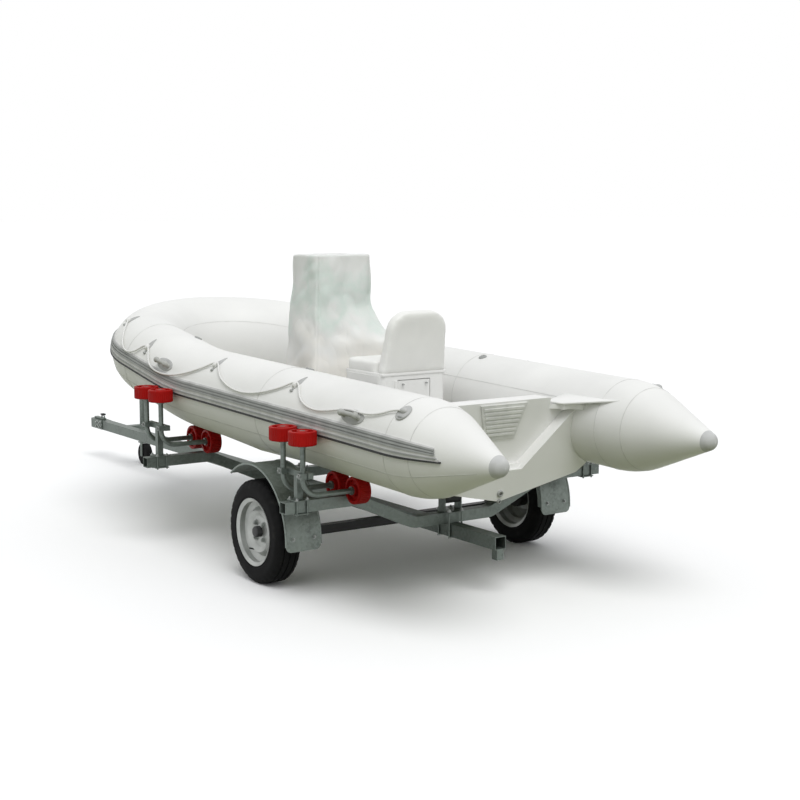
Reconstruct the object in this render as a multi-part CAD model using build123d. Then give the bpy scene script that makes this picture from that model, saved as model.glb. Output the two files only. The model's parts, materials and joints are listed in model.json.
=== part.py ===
from build123d import *
import os
from math import atan2, cos, degrees, hypot, pi, radians, sin, tan

# Rigid inflatable boat on its single-axle road trailer, in millimetres.
# X runs forward, Y to port and Z up. The origin is on the ground under the middle of the whole set.
# Heights named ABOVE are measured up from the road axle, which stands one tyre radius off the ground.

# Stations along the set, measured forward or aft of the road axle
NOSE_AHEAD = 4405.0
SPINE_AHEAD = 4290.0
JOCKEY_AHEAD = 3820.0
FRONT_BEAM_AHEAD = 1145.0
SPINE_BEHIND = 935.0
CONE_BASE_BEHIND = 1180.0
KEEL_BEHIND = 915.0
REAR_BEAM_BEHIND = 490.0

# Air tube collar
TUBE_R = 240.0
TUBE_Y = 650.0
TUBE_AFT_ABOVE = 590.15
SIDE_RISE = 1.4
SIDE_RUN = 2080.0
ELBOW_R = 3000.0
BOW_RISE = 9.5
SHOULDER_RUN = 440.0
SEAT_GAP = 0.5

# Stern cones and their end caps
CONE_SHOULDER_R = 590.0
CONE_HALF_ANGLE = 22.5
CAP_R = 54.0
CAP_SKIRT = 18.0
CAP_LENGTH = 52.0

# Rub strake, in degrees above the middle of the tube's outer side
STRAKE_LOW = -3.0
STRAKE_HIGH = 20.0
STRAKE_BASE = 6.0
STRAKE_BEAD = 12.0
STRAKE_TAIL = 296.0

# Rope holders, carry handles and the grab line, whose runs count from a datum aft of the tubes' aft end
RUN_DATUM = 170.0
HOLDER_HEIGHT = 26.0
PAD_ROOT = 20.0
HANDLE_LENGTH = 190.0
HANDLE_WIDTH = 68.0
HANDLE_PATCH = 6.0
HANDLE_HEIGHT = 46.0
HANDLE_BAR = 24.0
HANDLE_FOOT_INSET = 20.0
LINE_R = 6.0
LINE_GAP = 0.5
LINE_CORNER_SHARE = 0.45

# Hull mouldings
DECK_ABOVE = 420.0
DECK_THICK = 20.0
DECK_HALF = 505.0
BOW_STEP_PAST = 550.0
BOW_STEP_ABOVE = 600.0
TRANSOM_ABOVE = 735.0
TRANSOM_RAKE = 13.0
RECESS_DEPTH = 80.0
BOARD_THICK = 60.0
BOARD_HALF = 310.0
WELL_FLOOR_ABOVE = 375.0
WELL_FLOOR_HALF = 120.0
WELL_TOP_HALF = 420.0
SPONSON_Y = 560.0
SPONSON_ABOVE = 675.0
LEDGE_THICK = 25.0
LEDGE_OVERHANG = 60.0
PAD_THICK = 10.0
PAD_TOP_UP = 312.0
PAD_BOTTOM_UP = 125.0
PAD_TOP_HALF = 150.0
PAD_BOTTOM_HALF = 95.0
PAD_RIB = 5.0
PAD_RIB_HEIGHT = 12.0
PAD_RIB_MARGIN = 15.0
PAD_RIB_COUNT = 7
DRAIN_R = 16.0
DRAIN_LENGTH = 8.0
DRAIN_ABOVE = 255.0

# Helm
CONSOLE_AHEAD = 720.0
CONSOLE_LENGTH = 400.0
CONSOLE_WIDTH = 500.0
CONSOLE_TOP_LENGTH = 300.0
CONSOLE_TOP_WIDTH = 380.0
CONSOLE_ABOVE = 1140.0
CONSOLE_CORNER_R = 40.0
SCREEN_HEIGHT = 290.0
SCREEN_THICK = 8.0
SCREEN_MARGIN = 15.0
FILM_GAP = 12.0
FILM_THICK = 3.0
SEAT_AFT_BEHIND = 146.0
SEAT_LENGTH = 380.0
SEAT_WIDTH = 440.0
SEAT_BOX_ABOVE = 800.0
CUSHION_THICK = 80.0
BACK_ABOVE = 1158.0
BACK_TOP_HALF = 188.0
BACK_THICK = 62.0
BACK_RAKE = 12.0
BACK_ROOT = 20.0
BACK_CORNER_R = 125.0
DOOR_WIDTH = 210.0
DOOR_HEIGHT = 170.0
DOOR_THICK = 14.0
DOOR_ABOVE = 685.0
DOOR_EDGE_GAP = 5.0
DOOR_SEAT_GAP = 0.3
LOCKER_WALL = 30.0
HINGE_R = 6.0
HINGE_PIN_R = 3.0
HINGE_LEAF = 1.0
HINGE_REACH = 22.0
HINGE_END_GAP = 1.0
SEAT_CORNER_R = 40.0
CUSHION_GAP = 5.0

# Trailer frame
SPINE_SIZE = 70.0
SPINE_WALL = 4.0
SPINE_BELOW = 5.0
BEAM_SIZE = 60.0
BEAM_WALL = 4.0
BEAM_FLAT_HALF = 230.0
BEAM_BEND_R = 120.0
BEAM_SLOPE = 24.0
BEAM_SLOPE_RUN = 350.0
BEAM_END_Y = 1037.0
AXLE_SIZE = 50.0
ARM_LENGTH = 120.0
ARM_THICK = 30.0
ARM_EDGE = 7.0
WHEEL_INSIDE_GAP = 20.0
STUB_OUT = 55.0
STUB_R = 17.0

# Coupling, tail and keel support
BALL_R = 25.2
SOCKET_DEPTH = 22.0
COUPLING_PLATE = 6.0
PLATE_LENGTH = 130.0
LEVER_LENGTH = 90.0
LEVER_HALF = 18.0
LEVER_THICK = 14.0
TAIL_BRACKET_LENGTH = 45.0
TAIL_BRACKET_HALF = 22.0
TAIL_BRACKET_DROP = 55.0
KEEL_ROLLER_R = 36.0
KEEL_ROLLER_HALF = 50.0
KEEL_PIN_R = 8.0
KEEL_EAR = 6.0
KEEL_EAR_GAP = 0.3

# Road wheels
TYRE_R = 280.0
TYRE_WIDTH = 155.0
TYRE_CROWN_EDGE = 26.0
TYRE_SHOULDER_DROP = 18.0
TYRE_SHOULDER_EDGE = 8.0
TYRE_WALL_DROP = 50.0
TYRE_BEAD_EDGE = 14.0
RIM_R = 182.5
RIM_BEAD_R = 168.5
RIM_WALL = 5.5
RIM_FLANGE = 4.0
RIM_LIP = 10.0
RIM_WELL_R = 140.0
RIM_WELL_OUT = 20.0
RIM_WELL_IN = 15.0
RIM_RAMP = 15.0
DISH_CREST_R = 112.0
DISH_CREST_OUT = 46.0
NAVE_R = 84.0
NAVE_OUT = 30.0
NAVE_BORE_R = 30.0
TRACK_OUT = 219.0
HUB_R = 62.0
HUB_IN = 40.0
HUB_CAP_R = 29.5
HUB_CAP_OUT = 56.0
WHEEL_GAP = 0.05
GUARD_R = 365.0
GUARD_SKIRT = 34.0
STAY_THICK = 6.0
GUARD_OUT = 80.0
GUARD_FRONT_ANGLE = 52.0
GUARD_THICK = 4.0
FLAP_DROP = 45.0
FLAP_CORNER_R = 30.0

# Jockey wheel
JOCKEY_Y = -160.0
JOCKEY_R = 80.0
JOCKEY_WIDTH = 50.0
JOCKEY_TUBE_R = 24.0
JOCKEY_STEM_R = 20.0
JOCKEY_TRAIL = 30.0
JOCKEY_PIN_R = 6.0
JOCKEY_CHEEK = 5.0
JOCKEY_CHEEK_GAP = 5.0
FORK_HALF_WIDTH = 18.0
FORK_CROWN = 10.0
FORK_HEADROOM = 15.0
SWIVEL_GAP = 0.3
JACK_STOP_GAP = 7.0
STEM_ENGAGED = 220.0
CLAMP_RISE = 22.3
CLAMP_HEIGHT = 46.0
CLAMP_LENGTH = 70.0
CLAMP_WALL = 8.0
JOCKEY_CAP = 10.0

# Roller cradles
CRADLE_BAR = 30.0
CRADLE_SPACING = 195.0
ROLLER_R = 72.0
ROLLER_WIDTH = 72.0
ROLLER_HUB_R = 30.0
ROLLER_WEB_R = 56.0
ROLLER_RECESS = 18.0
ROLLER_EDGE = 5.0
ROLLER_GAP = 0.8
SIDE_ROLLER_DROP = 20.0
ARM_R = 14.0
ARM_FIT = 0.3
ARM_CLAMP = 8.0
ARM_BEND_R = 90.0
POST_SIZE = 34.0

# The whole set is centred over the origin between the cone tips and the coupling's nose
rise = radians(SIDE_RISE)
shoulder_drop = CONE_SHOULDER_R * (1 - cos(radians(CONE_HALF_ANGLE)))
cone_length = (
    CONE_SHOULDER_R * sin(radians(CONE_HALF_ANGLE))
    + (TUBE_R - shoulder_drop - CAP_R) / tan(radians(CONE_HALF_ANGLE)))
tip_behind = CONE_BASE_BEHIND + (cone_length + CAP_LENGTH) * cos(rise)
AXLE_X = (tip_behind - NOSE_AHEAD) / 2
NOSE_X = AXLE_X + NOSE_AHEAD
COUPLING_X = AXLE_X + SPINE_AHEAD
JOCKEY_X = AXLE_X + JOCKEY_AHEAD
FRONT_BEAM_X = AXLE_X + FRONT_BEAM_AHEAD
REAR_BEAM_X = AXLE_X - REAR_BEAM_BEHIND
SPINE_TAIL_X = AXLE_X - SPINE_BEHIND
CONE_BASE_X = AXLE_X - CONE_BASE_BEHIND
KEEL_AFT_X = AXLE_X - KEEL_BEHIND
BOW_STEP_X = CONE_BASE_X + SIDE_RUN + BOW_STEP_PAST
CONSOLE_X = AXLE_X + CONSOLE_AHEAD
TRACK_HALF = TUBE_Y + TRACK_OUT
TUBE_AFT_Z = TYRE_R + TUBE_AFT_ABOVE
DECK_Z = TYRE_R + DECK_ABOVE
BOW_STEP_Z = TYRE_R + BOW_STEP_ABOVE
TRANSOM_TOP_Z = TYRE_R + TRANSOM_ABOVE
WELL_FLOOR_Z = TYRE_R + WELL_FLOOR_ABOVE
SPONSON_TOP_Z = TYRE_R + SPONSON_ABOVE
DRAIN_Z = TYRE_R + DRAIN_ABOVE
CONSOLE_TOP_Z = TYRE_R + CONSOLE_ABOVE
SEAT_BOX_Z = TYRE_R + SEAT_BOX_ABOVE
BACK_TOP_Z = TYRE_R + BACK_ABOVE
DOOR_Z = TYRE_R + DOOR_ABOVE
SPINE_Z = TYRE_R - SPINE_BELOW
SCREEN_TOP_Z = CONSOLE_TOP_Z + SCREEN_HEIGHT

MIRROR = Plane.XZ
UP = (1, 0)
DOWN = (-1, 0)
INBOARD = (0, 1)


def turned(plane, radius, angle, side):
    """The plane reached after a bend of that radius and angle towards a side vector."""
    hinge_dir = plane.z_dir.cross(side)
    new_side = side * cos(radians(angle)) - plane.z_dir * sin(radians(angle))
    new_z = plane.z_dir * cos(radians(angle)) + side * sin(radians(angle))
    new_x = new_side * plane.x_dir.dot(side) + hinge_dir * plane.x_dir.dot(hinge_dir)
    return Plane(origin=plane.origin + side * radius - new_side * radius, x_dir=new_x, z_dir=new_z)


def bent_bar(section, start, steps):
    """Carry a flat section through straight runs (length,) and bends (radius, angle, toward)."""
    plane = start
    pieces = []
    for step in steps:
        if len(step) == 1:
            pieces.append(extrude(plane * section, amount=step[0]))
            plane = plane.offset(step[0])
        else:
            radius, angle, toward = step
            side = plane.x_dir * toward[0] + plane.y_dir * toward[1]
            hinge = Axis(plane.origin + side * radius, plane.z_dir.cross(side))
            pieces.append(revolve(plane * section, hinge, angle))
            plane = turned(plane, radius, angle, side)
    return Part() + pieces, plane


def both_sides(solid):
    """A solid and its mirror image across the middle plane."""
    return [solid, mirror(solid, about=MIRROR)]


def block(x, y, z):
    """A box between two limits on each axis."""
    middle = ((x[0] + x[1]) / 2, (y[0] + y[1]) / 2, (z[0] + z[1]) / 2)
    return Pos(*middle) * Box(x[1] - x[0], y[1] - y[0], z[1] - z[0])


def prism(points, plane, amount):
    """A polygon drawn on a plane and pushed out of it."""
    return extrude(plane * make_face(Polyline(*points, close=True)), amount=amount)


def square_tube(size, wall):
    """A square tube's section."""
    return Rectangle(size, size) - Rectangle(size - 2 * wall, size - 2 * wall)


def arc_band(inner_r, outer_r, low, high):
    """A band that hugs the outboard side of a round section, between two angles."""
    def at(radius, angle):
        return (radius * sin(radians(angle)), -radius * cos(radians(angle)))
    middle = (low + high) / 2
    outline = [
        ThreePointArc(at(outer_r, low), at(outer_r, middle), at(outer_r, high)),
        Line(at(outer_r, high), at(inner_r, high)),
        ThreePointArc(at(inner_r, high), at(inner_r, middle), at(inner_r, low)),
        Line(at(inner_r, low), at(outer_r, low)),
    ]
    return make_face(outline)


parts = {}

# Air tubes: straight sides that rise a little, an upward elbow, and a half-round bow
tube_start = Plane(
    origin=(CONE_BASE_X, TUBE_Y, TUBE_AFT_Z),
    x_dir=(-sin(rise), 0, cos(rise)),
    z_dir=(cos(rise), 0, sin(rise)),
)
SIDE_STEPS = [(SIDE_RUN,), (ELBOW_R, BOW_RISE - SIDE_RISE, UP), (SHOULDER_RUN,)]
BOW_STEPS = [(TUBE_Y, 180, INBOARD)]


def collar(section):
    """Port side and bow of anything that follows the air tubes."""
    side_piece, bow_start = bent_bar(section, tube_start, SIDE_STEPS)
    bow_piece, _ = bent_bar(section, bow_start, BOW_STEPS)
    return side_piece, bow_piece


side_tube, bow_tube = collar(Circle(TUBE_R))
parts["tube_port"], parts["tube_starboard"] = both_sides(side_tube)
parts["tube_bow"] = bow_tube

seat_side, seat_bow = collar(Circle(TUBE_R + SEAT_GAP))
tube_seat = seat_side + mirror(seat_side, about=MIRROR) + seat_bow


def collar_plane(run):
    """The section plane of the port tube at a run forward of its aft end, on round the bow."""
    elbow_run = radians(BOW_RISE - SIDE_RISE) * ELBOW_R
    if run <= SIDE_RUN:
        return tube_start.offset(run)
    elbow = tube_start.offset(SIDE_RUN)
    if run <= SIDE_RUN + elbow_run:
        return turned(elbow, ELBOW_R, degrees((run - SIDE_RUN) / ELBOW_R), elbow.x_dir)
    elbow_end = turned(elbow, ELBOW_R, BOW_RISE - SIDE_RISE, elbow.x_dir)
    rest = run - SIDE_RUN - elbow_run
    if rest <= SHOULDER_RUN:
        return elbow_end.offset(rest)
    bow = elbow_end.offset(SHOULDER_RUN)
    return turned(bow, TUBE_Y, degrees((rest - SHOULDER_RUN) / TUBE_Y), bow.y_dir)


def tube_point(run, angle, lift):
    """A point that stands off the outboard side of the port tube, at a run forward of the datum."""
    plane = collar_plane(run - RUN_DATUM)
    out = plane.x_dir * sin(radians(angle)) - plane.y_dir * cos(radians(angle))
    return plane.origin + out * (TUBE_R + lift)


def tube_face(run, angle):
    """A plane on the port tube's surface: x along the tube and z straight out of it."""
    plane = collar_plane(run - RUN_DATUM)
    out = plane.x_dir * sin(radians(angle)) - plane.y_dir * cos(radians(angle))
    return Plane(origin=plane.origin + out * TUBE_R, x_dir=plane.z_dir, z_dir=out)


# Stern cones: a rounded shoulder, a straight taper and a grey end cap
aft_frame = Plane(origin=tube_start.origin, x_dir=tube_start.x_dir, z_dir=-tube_start.z_dir)


def cone_line(lift, aft):
    """The cone's outline stood off by a lift: its shoulder arc and the taper's point at a distance aft."""
    arc = JernArc((TUBE_R + lift, 0), (0, 1), CONE_SHOULDER_R + lift, CONE_HALF_ANGLE)
    end = arc @ 1
    return arc, (end.X - (aft - end.Y) * tan(radians(CONE_HALF_ANGLE)), aft)


def cone_solid(lift):
    """The port cone, grown by a lift."""
    arc, tip = cone_line(lift, cone_length)
    face = make_face([arc, Polyline(arc @ 1, tip, (0, cone_length), (0, 0), (TUBE_R + lift, 0))])
    return aft_frame.location * revolve(Plane.XZ * face, Axis.Z)


parts["cone_port"], parts["cone_starboard"] = both_sides(cone_solid(0))
cone_seat = cone_solid(SEAT_GAP)
skirt_r = CAP_R - CAP_SKIRT * tan(radians(CONE_HALF_ANGLE))
cap_tip = cone_length + CAP_LENGTH
cap_nose = TangentArc((0, cap_tip), (skirt_r, cone_length + CAP_SKIRT), tangent=(1, 0))
cap_face = make_face([
    cap_nose,
    Polyline((0, cap_tip), (0, cone_length), (CAP_R, cone_length), (skirt_r, cone_length + CAP_SKIRT)),
])
cap = aft_frame.location * revolve(Plane.XZ * cap_face, Axis.Z)
parts["cone_caps"] = both_sides(cap)

# Rub strake: one band round the whole collar with raised beads, whose tails lie on the cones
strake_r = TUBE_R + SEAT_GAP


def cone_strip(height, low, high, tail):
    """A band on the port cone between two angles, from the tube's aft end to a distance aft."""
    inner, inner_end = cone_line(SEAT_GAP, tail)
    outer, outer_end = cone_line(SEAT_GAP + height, tail)
    face = make_face([
        inner, Polyline(inner @ 1, inner_end, outer_end, outer @ 1), outer, Line(outer @ 0, inner @ 0)])
    return aft_frame.location * Rot(0, 0, 90 - high) * revolve(Plane.XZ * face, Axis.Z, high - low)


strake_section = arc_band(strake_r, strake_r + STRAKE_BASE, STRAKE_LOW, STRAKE_HIGH)
strake_tail = cone_strip(STRAKE_BASE, STRAKE_LOW, STRAKE_HIGH, STRAKE_TAIL)
# Columns: lower angle, upper angle and tail length of a bead
BEADS = [(-3.0, -0.6, 338), (2.4, 4.4, 316), (8.0, 10.4, 304), (11.6, 14.0, 301), (15.2, 17.6, 298)]
for bead_low, bead_high, bead_tail in BEADS:
    strake_section += arc_band(strake_r, strake_r + STRAKE_BEAD, bead_low, bead_high)
    strake_tail += cone_strip(STRAKE_BEAD, bead_low, bead_high, bead_tail)
strake_side, strake_bow = collar(strake_section)
strake_half = strake_side + strake_tail
parts["rub_strake"] = strake_half + mirror(strake_half, about=MIRROR) + strake_bow

# Grab line: a slack rope along each tube, from the stern pad to the bow pad
# Columns: run forward of the datum, angle above the middle of the tube's outer side, height off the tube
LINE_ROUTE = [
    (127, 50, 15), (195, 48, 13), (258, 41, 10), (335, 36, 12), (430, 35, 15), (530, 36, 15), (620, 32, 12),
    (725, 27, 10), (830, 25, 10), (925, 28, 10), (1000, 35, 10), (1052, 45, 11), (1098, 53, 15),
    (1150, 52, 15), (1205, 44, 10), (1275, 37, 10), (1370, 30, 10), (1480, 25, 10), (1600, 23, 10),
    (1715, 25, 10), (1815, 30, 10), (1895, 37, 10), (1955, 46, 11), (2004, 54, 15), (2054, 53, 15),
    (2108, 45, 10), (2172, 38, 10), (2255, 31, 10), (2345, 25, 12), (2435, 20, 19), (2530, 17, 22),
    (2635, 16, 22), (2720, 18, 21), (2780, 23, 15), (2824, 31, 12), (2862, 39, 15), (2905, 40, 15),
    (2945, 33, 12), (2985, 25, 13), (3035, 20, 20), (3095, 19, 22), (3148, 23, 17), (3192, 31, 13),
    (3240, 40, 13), (3290, 49, 14), (3345, 55, 15),
]


def rope(points, radius):
    """A round rope along straight runs whose corners are rounded as widely as the runs allow."""
    runs = [ahead - here for here, ahead in zip(points, points[1:])]
    radii = []
    for before, after in zip(runs, runs[1:]):
        shorter = min(before.length, after.length)
        radii.append(LINE_CORNER_SHARE * shorter / tan(radians(before.get_angle(after) / 2)))
    path = FilletPolyline(*points, radius=radii)
    start = Plane(origin=path @ 0, z_dir=path % 0)
    return sweep(start * Circle(radius), path=path), radii, path.length


line_points = [tube_point(*row) for row in LINE_ROUTE]
line, line_radii, line_length = rope(line_points, LINE_R)
print(f"grab line radii {min(line_radii):.0f} to {max(line_radii):.0f} mm, length {line_length:.0f} mm")
print(f"grab line volume share {line.volume / (line_length * pi * LINE_R ** 2):.4f}")
parts["lifeline_port"], parts["lifeline_starboard"] = both_sides(line)
line_room, _, _ = rope(line_points, LINE_R + LINE_GAP)

# Rope holders: moulded pads that the grab line threads through
# Columns: run forward of the datum, angle above the middle of the tube's outer side, size across and along it
HOLDERS = [
    (127, 50, 78, 70), (1124, 57, 112, 44), (2029, 58, 112, 44), (2884, 44, 104, 42), (3345, 60, 100, 40),
]
holders = []
for run, angle, across, along in HOLDERS:
    pad_face = Rot(0, 0, 90) * SlotOverall(across, along)
    pad = Pos(0, 0, -PAD_ROOT) * extrude(pad_face, PAD_ROOT + HOLDER_HEIGHT)
    holders += both_sides(tube_face(run, angle).location * pad - tube_seat - cone_seat - line_room)
parts["rope_holders"] = holders

# Carry handles: a round grip on two feet over a moulded patch
# Columns: run forward of the datum, angle above the middle of the tube's outer side
HANDLES = [(481, 29.5), (2593, 30.0)]
handles = []
foot_x = (HANDLE_LENGTH - HANDLE_BAR) / 2 - HANDLE_FOOT_INSET
for run, angle in HANDLES:
    handle = Pos(0, 0, -PAD_ROOT) * extrude(SlotOverall(HANDLE_LENGTH, HANDLE_WIDTH), PAD_ROOT + HANDLE_PATCH)
    for foot in (-foot_x, foot_x):
        handle += Pos(foot, 0, 0) * extrude(Rectangle(HANDLE_BAR, HANDLE_BAR), HANDLE_HEIGHT)
    grip_length = 2 * foot_x + HANDLE_BAR
    grip = Rot(0, 90, 0) * Cylinder(HANDLE_BAR / 2, grip_length)
    handle += Pos(0, 0, HANDLE_HEIGHT - HANDLE_BAR / 2) * grip
    handles += both_sides(tube_face(run, angle).location * handle - tube_seat)
parts["carry_handles"] = handles


# Hull bottom and bow moulding: V sections, seated against the air tubes
def hull_section(x, keel, chine_y, chine, rail_y, rail, top_z):
    """One V section of the hull, square to the keel."""
    half = [(0, TYRE_R + keel), (chine_y, TYRE_R + chine), (rail_y, TYRE_R + rail), (rail_y, top_z)]
    other = [(-y, z) for y, z in reversed(half[1:])]
    outline = Polyline(*half, *other, close=True)
    return Plane(origin=(x, 0, 0), x_dir=(0, 1, 0), z_dir=(1, 0, 0)) * make_face(outline)


hull_top_z = DECK_Z - DECK_THICK
# Columns: x, keel above the axle, chine y, chine above the axle, rail y, rail above the axle
HULL_AFT = (KEEL_AFT_X, 210, 500, 320, 560, 365)
HULL_STATIONS = [
    HULL_AFT,
    (AXLE_X + 700, 200, 500, 305, 560, 365),
    (BOW_STEP_X, 240, 430, 320, 540, 380),
]
BOW_STATIONS = [
    (BOW_STEP_X, 240, 430, 320, 540, 380),
    (BOW_STEP_X + 450, 360, 280, 440, 430, 510),
    (BOW_STEP_X + 810, 550, 50, 570, 110, 585),
]
hull = loft([hull_section(*row, hull_top_z) for row in HULL_STATIONS], ruled=True) - tube_seat
parts["hull_bottom"] = hull
bow_moulding = loft([hull_section(*row, BOW_STEP_Z) for row in BOW_STATIONS], ruled=True)
parts["bow_moulding"] = bow_moulding - tube_seat

# Deck plate between the tubes
_, aft_keel, aft_chine_y, aft_chine, aft_rail_y, aft_rail = HULL_AFT
aft_keel_z = TYRE_R + aft_keel


def aft_face_x(z):
    """Where the raked transom face stands at a height."""
    return KEEL_AFT_X - (z - aft_keel_z) * tan(radians(TRANSOM_RAKE))


def board_face_x(z):
    """Where the recessed motor board's aft face stands at a height."""
    return aft_face_x(z) + RECESS_DEPTH


deck_aft_x = board_face_x(DECK_Z) + BOARD_THICK
deck = block((deck_aft_x, BOW_STEP_X), (-DECK_HALF, DECK_HALF), (hull_top_z, DECK_Z)) - tube_seat
parts["deck"] = max(deck.solids(), key=lambda s: s.volume)

# Transom: a raked moulding between the tubes, with a motor board in a tapering recess
ACROSS = Plane(origin=(0, 0, 0), x_dir=(0, 1, 0), z_dir=(1, 0, 0))
transom_aft_x = aft_face_x(TRANSOM_TOP_Z)
half_outline = [
    (aft_chine_y, TYRE_R + aft_chine), (aft_rail_y, TYRE_R + aft_rail), (aft_rail_y, SPONSON_TOP_Z),
]
board_outline = [
    (0, aft_keel_z), *half_outline,
    (BOARD_HALF, SPONSON_TOP_Z), (BOARD_HALF, TRANSOM_TOP_Z),
]
full_outline = board_outline + [(-y, z) for y, z in reversed(board_outline[1:])]
transom_block = prism(full_outline, ACROSS.offset(transom_aft_x), deck_aft_x - transom_aft_x)


def behind(face_x):
    """Everything aft of a raked face, as wide as the tubes' middles."""
    top_z = 2 * TRANSOM_TOP_Z
    far_x = 2 * face_x(top_z) - deck_aft_x
    outline = [(face_x(0), 0), (face_x(top_z), top_z), (far_x, top_z), (far_x, 0)]
    return prism(outline, Plane.XZ.offset(-TUBE_Y), 2 * TUBE_Y)


well = prism(
    [(WELL_FLOOR_HALF, WELL_FLOOR_Z), (WELL_TOP_HALF, SPONSON_TOP_Z), (WELL_TOP_HALF, 2 * TRANSOM_TOP_Z),
     (-WELL_TOP_HALF, 2 * TRANSOM_TOP_Z), (-WELL_TOP_HALF, SPONSON_TOP_Z),
     (-WELL_FLOOR_HALF, WELL_FLOOR_Z)],
    ACROSS.offset(transom_aft_x), deck_aft_x - transom_aft_x)
under_hull = block((KEEL_AFT_X, deck_aft_x), (-TUBE_Y, TUBE_Y), (0, hull_top_z))
transom = transom_block - behind(aft_face_x) - (well & behind(board_face_x)) - under_hull - tube_seat
parts["transom"] = max(transom.solids(), key=lambda s: s.volume)

# Ribbed motor pad on the board, and the ledges over the sponsons
rake_in = (cos(radians(TRANSOM_RAKE)), 0, sin(radians(TRANSOM_RAKE)))
board_plane = Plane(origin=(board_face_x(DECK_Z), 0, DECK_Z), x_dir=(0, 1, 0), z_dir=rake_in)
pad_outline = [
    (PAD_TOP_HALF, PAD_TOP_UP), (-PAD_TOP_HALF, PAD_TOP_UP),
    (-PAD_BOTTOM_HALF, PAD_BOTTOM_UP), (PAD_BOTTOM_HALF, PAD_BOTTOM_UP),
]
pad = prism(pad_outline, board_plane, -PAD_THICK)
for index in range(PAD_RIB_COUNT):
    share = (index + 1) / (PAD_RIB_COUNT + 1)
    rib_up = PAD_BOTTOM_UP + (PAD_TOP_UP - PAD_BOTTOM_UP) * share
    rib_half = PAD_BOTTOM_HALF + (PAD_TOP_HALF - PAD_BOTTOM_HALF) * share - PAD_RIB_MARGIN
    rib = Pos(0, rib_up) * Rectangle(2 * rib_half, PAD_RIB_HEIGHT)
    pad += extrude(board_plane.offset(-PAD_THICK) * rib, -PAD_RIB)
parts["motor_pad"] = pad
ledge_aft_x = aft_face_x(SPONSON_TOP_Z) - LEDGE_OVERHANG
ledge_outline = [
    (deck_aft_x, BOARD_HALF), (board_face_x(SPONSON_TOP_Z), BOARD_HALF),
    (ledge_aft_x, WELL_TOP_HALF), (ledge_aft_x, SPONSON_Y), (deck_aft_x, SPONSON_Y),
]
ledge = prism(ledge_outline, Plane.XY.offset(SPONSON_TOP_Z), LEDGE_THICK) - tube_seat
ledge = max(ledge.solids(), key=lambda s: s.volume)
parts["stern_ledges"] = both_sides(ledge)

# Drain fitting low on the transom
drain_plane = Plane(origin=(aft_face_x(DRAIN_Z), 0, DRAIN_Z), z_dir=rake_in)
drain = extrude(drain_plane * Circle(DRAIN_R), -DRAIN_LENGTH)
parts["drain_plug"] = drain


# Console under its film
def console_shape(grow, low_z, high_z, top_length, top_width):
    """A tapering console block, grown by a margin."""
    low = RectangleRounded(CONSOLE_LENGTH + 2 * grow, CONSOLE_WIDTH + 2 * grow, CONSOLE_CORNER_R + grow)
    high = RectangleRounded(top_length + 2 * grow, top_width + 2 * grow, CONSOLE_CORNER_R + grow)
    shape = loft([Plane.XY.offset(low_z) * low, Plane.XY.offset(high_z) * high], ruled=True)
    return Pos(CONSOLE_X, 0, 0) * shape


parts["console_pod"] = console_shape(0, DECK_Z, CONSOLE_TOP_Z, CONSOLE_TOP_LENGTH, CONSOLE_TOP_WIDTH)
screen_length = CONSOLE_TOP_LENGTH - 2 * SCREEN_MARGIN
screen_width = CONSOLE_TOP_WIDTH - 2 * SCREEN_MARGIN
screen_outer = Rectangle(screen_length, screen_width)
screen_inner = Pos(-SCREEN_THICK, 0, 0) * Rectangle(screen_length, screen_width - 2 * SCREEN_THICK)
screen = extrude(Plane.XY.offset(CONSOLE_TOP_Z) * (screen_outer - screen_inner), SCREEN_TOP_Z - CONSOLE_TOP_Z)
parts["console_screen"] = Pos(CONSOLE_X, 0, 0) * screen
film_top_z = SCREEN_TOP_Z + FILM_GAP
film_outer = console_shape(FILM_GAP + FILM_THICK, DECK_Z, film_top_z + FILM_THICK,
                           CONSOLE_TOP_LENGTH, CONSOLE_TOP_WIDTH)
film_inner = console_shape(FILM_GAP, DECK_Z, film_top_z, CONSOLE_TOP_LENGTH, CONSOLE_TOP_WIDTH)
parts["console_film"] = film_outer - film_inner

# Helm seat: a moulded box with a locker door in its aft face, a cushion and a raked backrest
seat_aft_x = AXLE_X - SEAT_AFT_BEHIND
seat_fore_x = seat_aft_x + SEAT_LENGTH
seat_y = (-SEAT_WIDTH / 2, SEAT_WIDTH / 2)
door_y = (-DOOR_WIDTH / 2, DOOR_WIDTH / 2)
door_z = (DOOR_Z - DOOR_HEIGHT / 2, DOOR_Z + DOOR_HEIGHT / 2)


def widened(span, margin):
    """A pair of limits moved apart by a margin at each end."""
    return (span[0] - margin, span[1] + margin)


seat_box = block((seat_aft_x, seat_fore_x), seat_y, (DECK_Z, SEAT_BOX_Z))
seat_box = fillet(seat_box.edges().filter_by(Axis.Z), SEAT_CORNER_R)
recess_x = (seat_aft_x, seat_aft_x + DOOR_THICK + DOOR_SEAT_GAP)
seat_box -= block(recess_x, widened(door_y, DOOR_EDGE_GAP), widened(door_z, DOOR_EDGE_GAP))
locker_lip = LOCKER_WALL / 2
locker_x = (seat_aft_x, seat_fore_x - LOCKER_WALL)
seat_box -= block(locker_x, widened(door_y, -locker_lip), widened(door_z, -locker_lip))
hinge_x = seat_aft_x - HINGE_R - HINGE_LEAF
hinge_y = door_y[1] + DOOR_EDGE_GAP / 2
knuckle = DOOR_HEIGHT / 3


def hinge_knuckle(low_z, high_z, toward_y):
    """One hinge barrel with a leaf that reaches the face beside it."""
    barrel = Pos(hinge_x, hinge_y, low_z) * extrude(Circle(HINGE_R), high_z - low_z)
    leaf_y = sorted((hinge_y, toward_y))
    return barrel + block((hinge_x, seat_aft_x), leaf_y, (low_z, high_z))


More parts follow.
